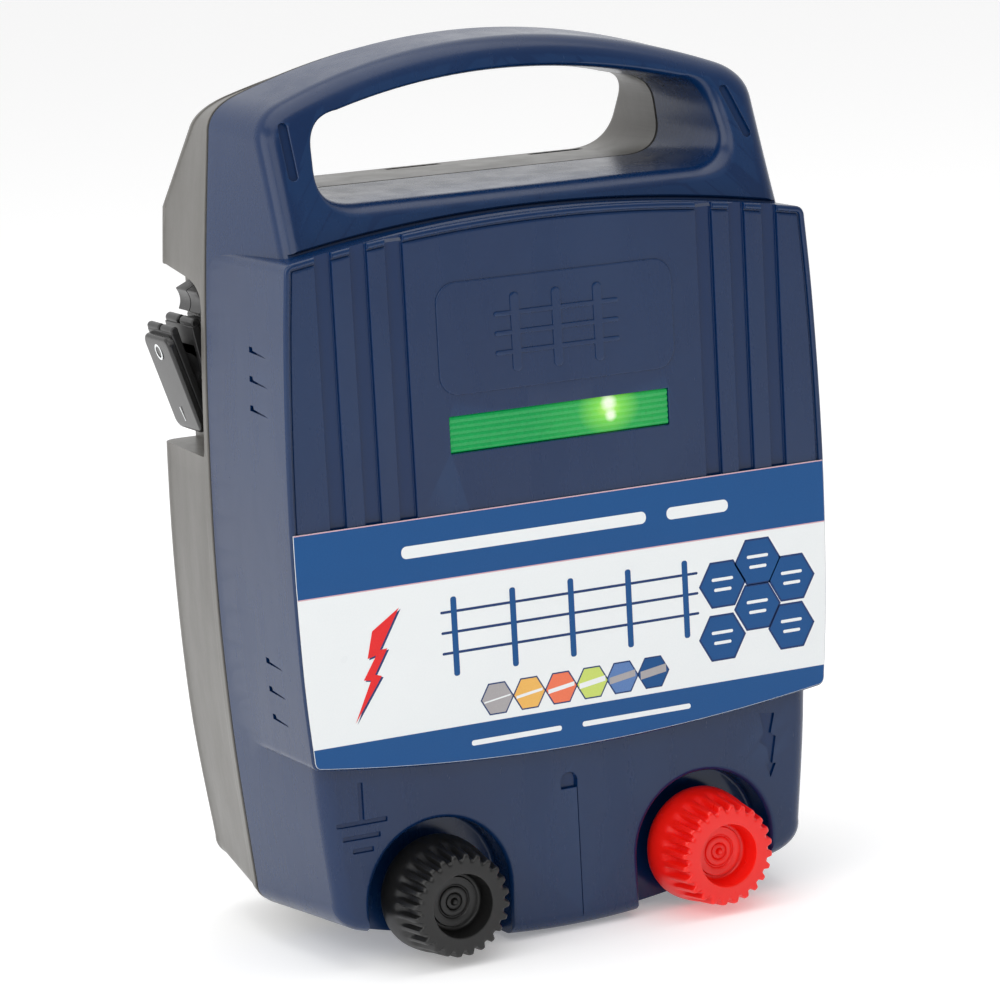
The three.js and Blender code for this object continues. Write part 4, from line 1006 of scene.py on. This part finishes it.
def make_switch_body():
    """Stepped body: five stacked plates with lugs, then the barrel in the case wall."""
    steps = [([(-1.7, 18.2), (0.0, -17.4), (1.5, -17.6), (1.0, 18.4)], 12.0),
             ([(0.8, 17.2), (1.3, -16.6), (2.4, -16.8), (2.8, 17.4)], 11.2),
             ([(2.6, 18.4), (2.2, -17.7), (3.7, -17.9), (4.9, 18.5)], 12.0),
             ([(4.7, 17.4), (3.5, -16.8), (4.6, -17.0), (7.0, 17.5)], 11.2),
             ([(6.8, 18.7), (4.4, -18.0), (5.7, -18.2), (11.0, 18.8)], 12.0)]
    body = None
    for points, half in steps:
        plate = slab("switch_step", points, half, 0.35, BLACK)
        body = plate if body is None else join(body, plate)
    for y0, y1 in ((-11.6, -0.9), (0.9, 11.6)):
        join(body, lug(0.2, 19.0, y0, y1, 1.75, BLACK))
    core = prism("core", [(1.0, 12.6), (1.0, -12.6), (26, -12.6), (26, 12.6)], -10.8, 10.8, BLACK)
    join(body, core)
    well = prism("well", [(-9, 11.6), (-9, -12.2), (3, -11.8), (9, -8), (24.2, -8), (24.2, 8), (9, 8),
                         (4, 11.2)],
                 -9.6, 9.6, BLACK)
    cut(body, well, prism("pin_hole", arc(0, 0, 1.7, 0, 360, 20), -20, 20, BLACK))
    for z in (-5, 0, 5):
        cut(body, box("tab_hole", 20, 30, -2.4, 2.4, z - 0.7, z + 0.7, BLACK))
    body.name = "switch_housing"
    body.data.transform(switch_frame())
    finish_surface(body, 35)
    return place(body, "case", "plastic_black", "switch_body")


def make_lead_clamp():
    """Waisted block above the switch, split across the middle, with a screw hole."""
    outline = [(POCKET_X - 0.3, 85.6), (POCKET_X - 0.3, 95.4), (-90.5, 95.4), (-95.8, 93.0)]
    outline += bend((-95.8, 93.0), (-93.2, 89.4), (-95.2, 85.6), 10)[1:] + [(-95.2, 85.6)]
    block = slab("lead_block", list(reversed(outline)), 9.5, 0.45, BLACK)
    block.data.transform(Matrix.Translation((0, -23.5 * MM, 0)))
    cut(block, box("split", -97, -88.0, -24.0, -23.4, 84, 98, BLACK))
    bore = prism("lead_bore", arc(-89.8, 90, 1.8, 0, 360, 24), -40, -5, BLACK)
    cut(block, bore)
    finish_surface(block, 35)
    return place(block, "case", "plastic_black", "lead_clamp")


# ---- build everything
make_front_shell()
make_rear_shell()
make_label()
make_lens()
make_knob("knob_earth", "earth_knob", "earth_handwheel", "knob_black", KNOB_BLACK)
make_knob("knob_fence", "fence_knob", "fence_handwheel", "knob_red", KNOB_RED)
make_rocker()
make_switch_body()
make_lead_clamp()

CARRIED = {
    RUBBER: ["case_gasket", "handle_gasket"],
    ALLOY: ["rating_plate", "heat_sink"],
    BOARD: ["display_board", "main_board"],
    LAMP_CLEAR: [f"display_lamp_{i}" for i in range(1, 6)],
    STEEL: ["rocker_pin", "earth_washer", "fence_washer"] + [f"board_screw_{i}" for i in range(1, 5)]
    + [f"case_screw_{i}" for i in range(1, 7)],
    IRON: ["pulse_core", "supply_transformer"],
    COPPER: ["pulse_coil"],
    CAN_BLUE: ["storage_capacitor"],
    BRASS: ["contact_arm", "earth_stud", "earth_nut", "earth_tag", "fence_stud", "fence_nut", "fence_tag"]
    + [f"switch_tab_{i}" for i in range(1, 4)],
    BLACK: ["thyristor", "earth_bush", "fence_bush", "lead_gland"],
}
for material, names in CARRIED.items():
    for name in names:
        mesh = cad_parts[name].data
        mesh.materials.clear()
        mesh.materials.append(material)

# ---- floor, light and camera
floor_look = Look("floor_pale")
for setting, value in (("Base Color", (0.93, 0.93, 0.93, 1)), ("Roughness", 0.8),
                       ("Emission Color", (1, 1, 1, 1)), ("Emission Strength", 0.24),
                       ("Specular IOR Level", 0.1)):
    floor_look.put(setting, value)
FLOOR_HALF, floor_z = 6000.0, cad_bounds[0][2] / MM
mesh_object("floor", [(FLOOR_HALF * x, FLOOR_HALF * y, floor_z) for x, y in
                               ((-1, -1), (1, -1), (1, 1), (-1, 1))], [(0, 1, 2, 3)], floor_look.material)

world = bpy.data.worlds.new("studio")
bpy.context.scene.world = world
world.use_nodes = True
wn, wl = world.node_tree.nodes, world.node_tree.links
sky_coords = wn.new("ShaderNodeTexCoord")
parts = wn.new("ShaderNodeSeparateXYZ")
wl.new(sky_coords.outputs["Generated"], parts.inputs["Vector"])
shade = wn.new("ShaderNodeMapRange")
for setting, value in (("From Min", -0.9), ("From Max", 0.3), ("To Min", 0.23), ("To Max", 0.95)):
    shade.inputs[setting].default_value = value
wl.new(parts.outputs["Y"], shade.inputs["Value"])
wl.new(shade.outputs["Result"], wn["Background"].inputs["Strength"])
wn["Background"].inputs["Color"].default_value = (1.0, 1.0, 1.0, 1.0)


def softbox(name, position, target, size, power):
    light = bpy.data.lights.new(name, "AREA")
    light.shape = "RECTANGLE"
    light.size, light.size_y = size
    light.energy = power
    lamp = bpy.data.objects.new(name, light)
    bpy.context.scene.collection.objects.link(lamp)
    lamp.location = position
    lamp.rotation_euler = (Vector(target) - Vector(position)).to_track_quat("-Z", "Y").to_euler()


softbox("key_left", (-1.7, -0.7, 0.9), (0, -0.05, 0.02), (1.5, 1.6), 13.5)
softbox("top", (0.1, -0.2, 1.9), (0, -0.05, 0.0), (1.8, 1.6), 11.0)
softbox("fill_front", (-0.7, -2.0, 1.6), (0, -0.05, 0.0), (1.6, 1.2), 10.0)

CAMERA_AT = Vector((-641.5, -1357.3, 282.3)) * MM
AZIMUTH, ELEVATION, ROLL = (math.radians(v) for v in (26.355, 10.548, 3.046))
forward = Vector((math.sin(AZIMUTH) * math.cos(ELEVATION), math.cos(AZIMUTH) * math.cos(ELEVATION),
                  -math.sin(ELEVATION)))
right = Vector((math.cos(AZIMUTH), -math.sin(AZIMUTH), 0.0))
up = right.cross(forward)
camera_data = bpy.data.cameras.new("camera")
camera_data.sensor_width = 36.0
camera_data.lens = 153.0
camera = bpy.data.objects.new("camera", camera_data)
bpy.context.scene.collection.objects.link(camera)
axis_x = right * math.cos(ROLL) - up * math.sin(ROLL)
axis_y = right * math.sin(ROLL) + up * math.cos(ROLL)
turned = Matrix((axis_x, axis_y, -forward)).transposed().to_4x4()
camera.matrix_world = Matrix.Translation(CAMERA_AT) @ turned
bpy.context.scene.camera = camera
bpy.context.scene.view_settings.view_transform = "Standard"
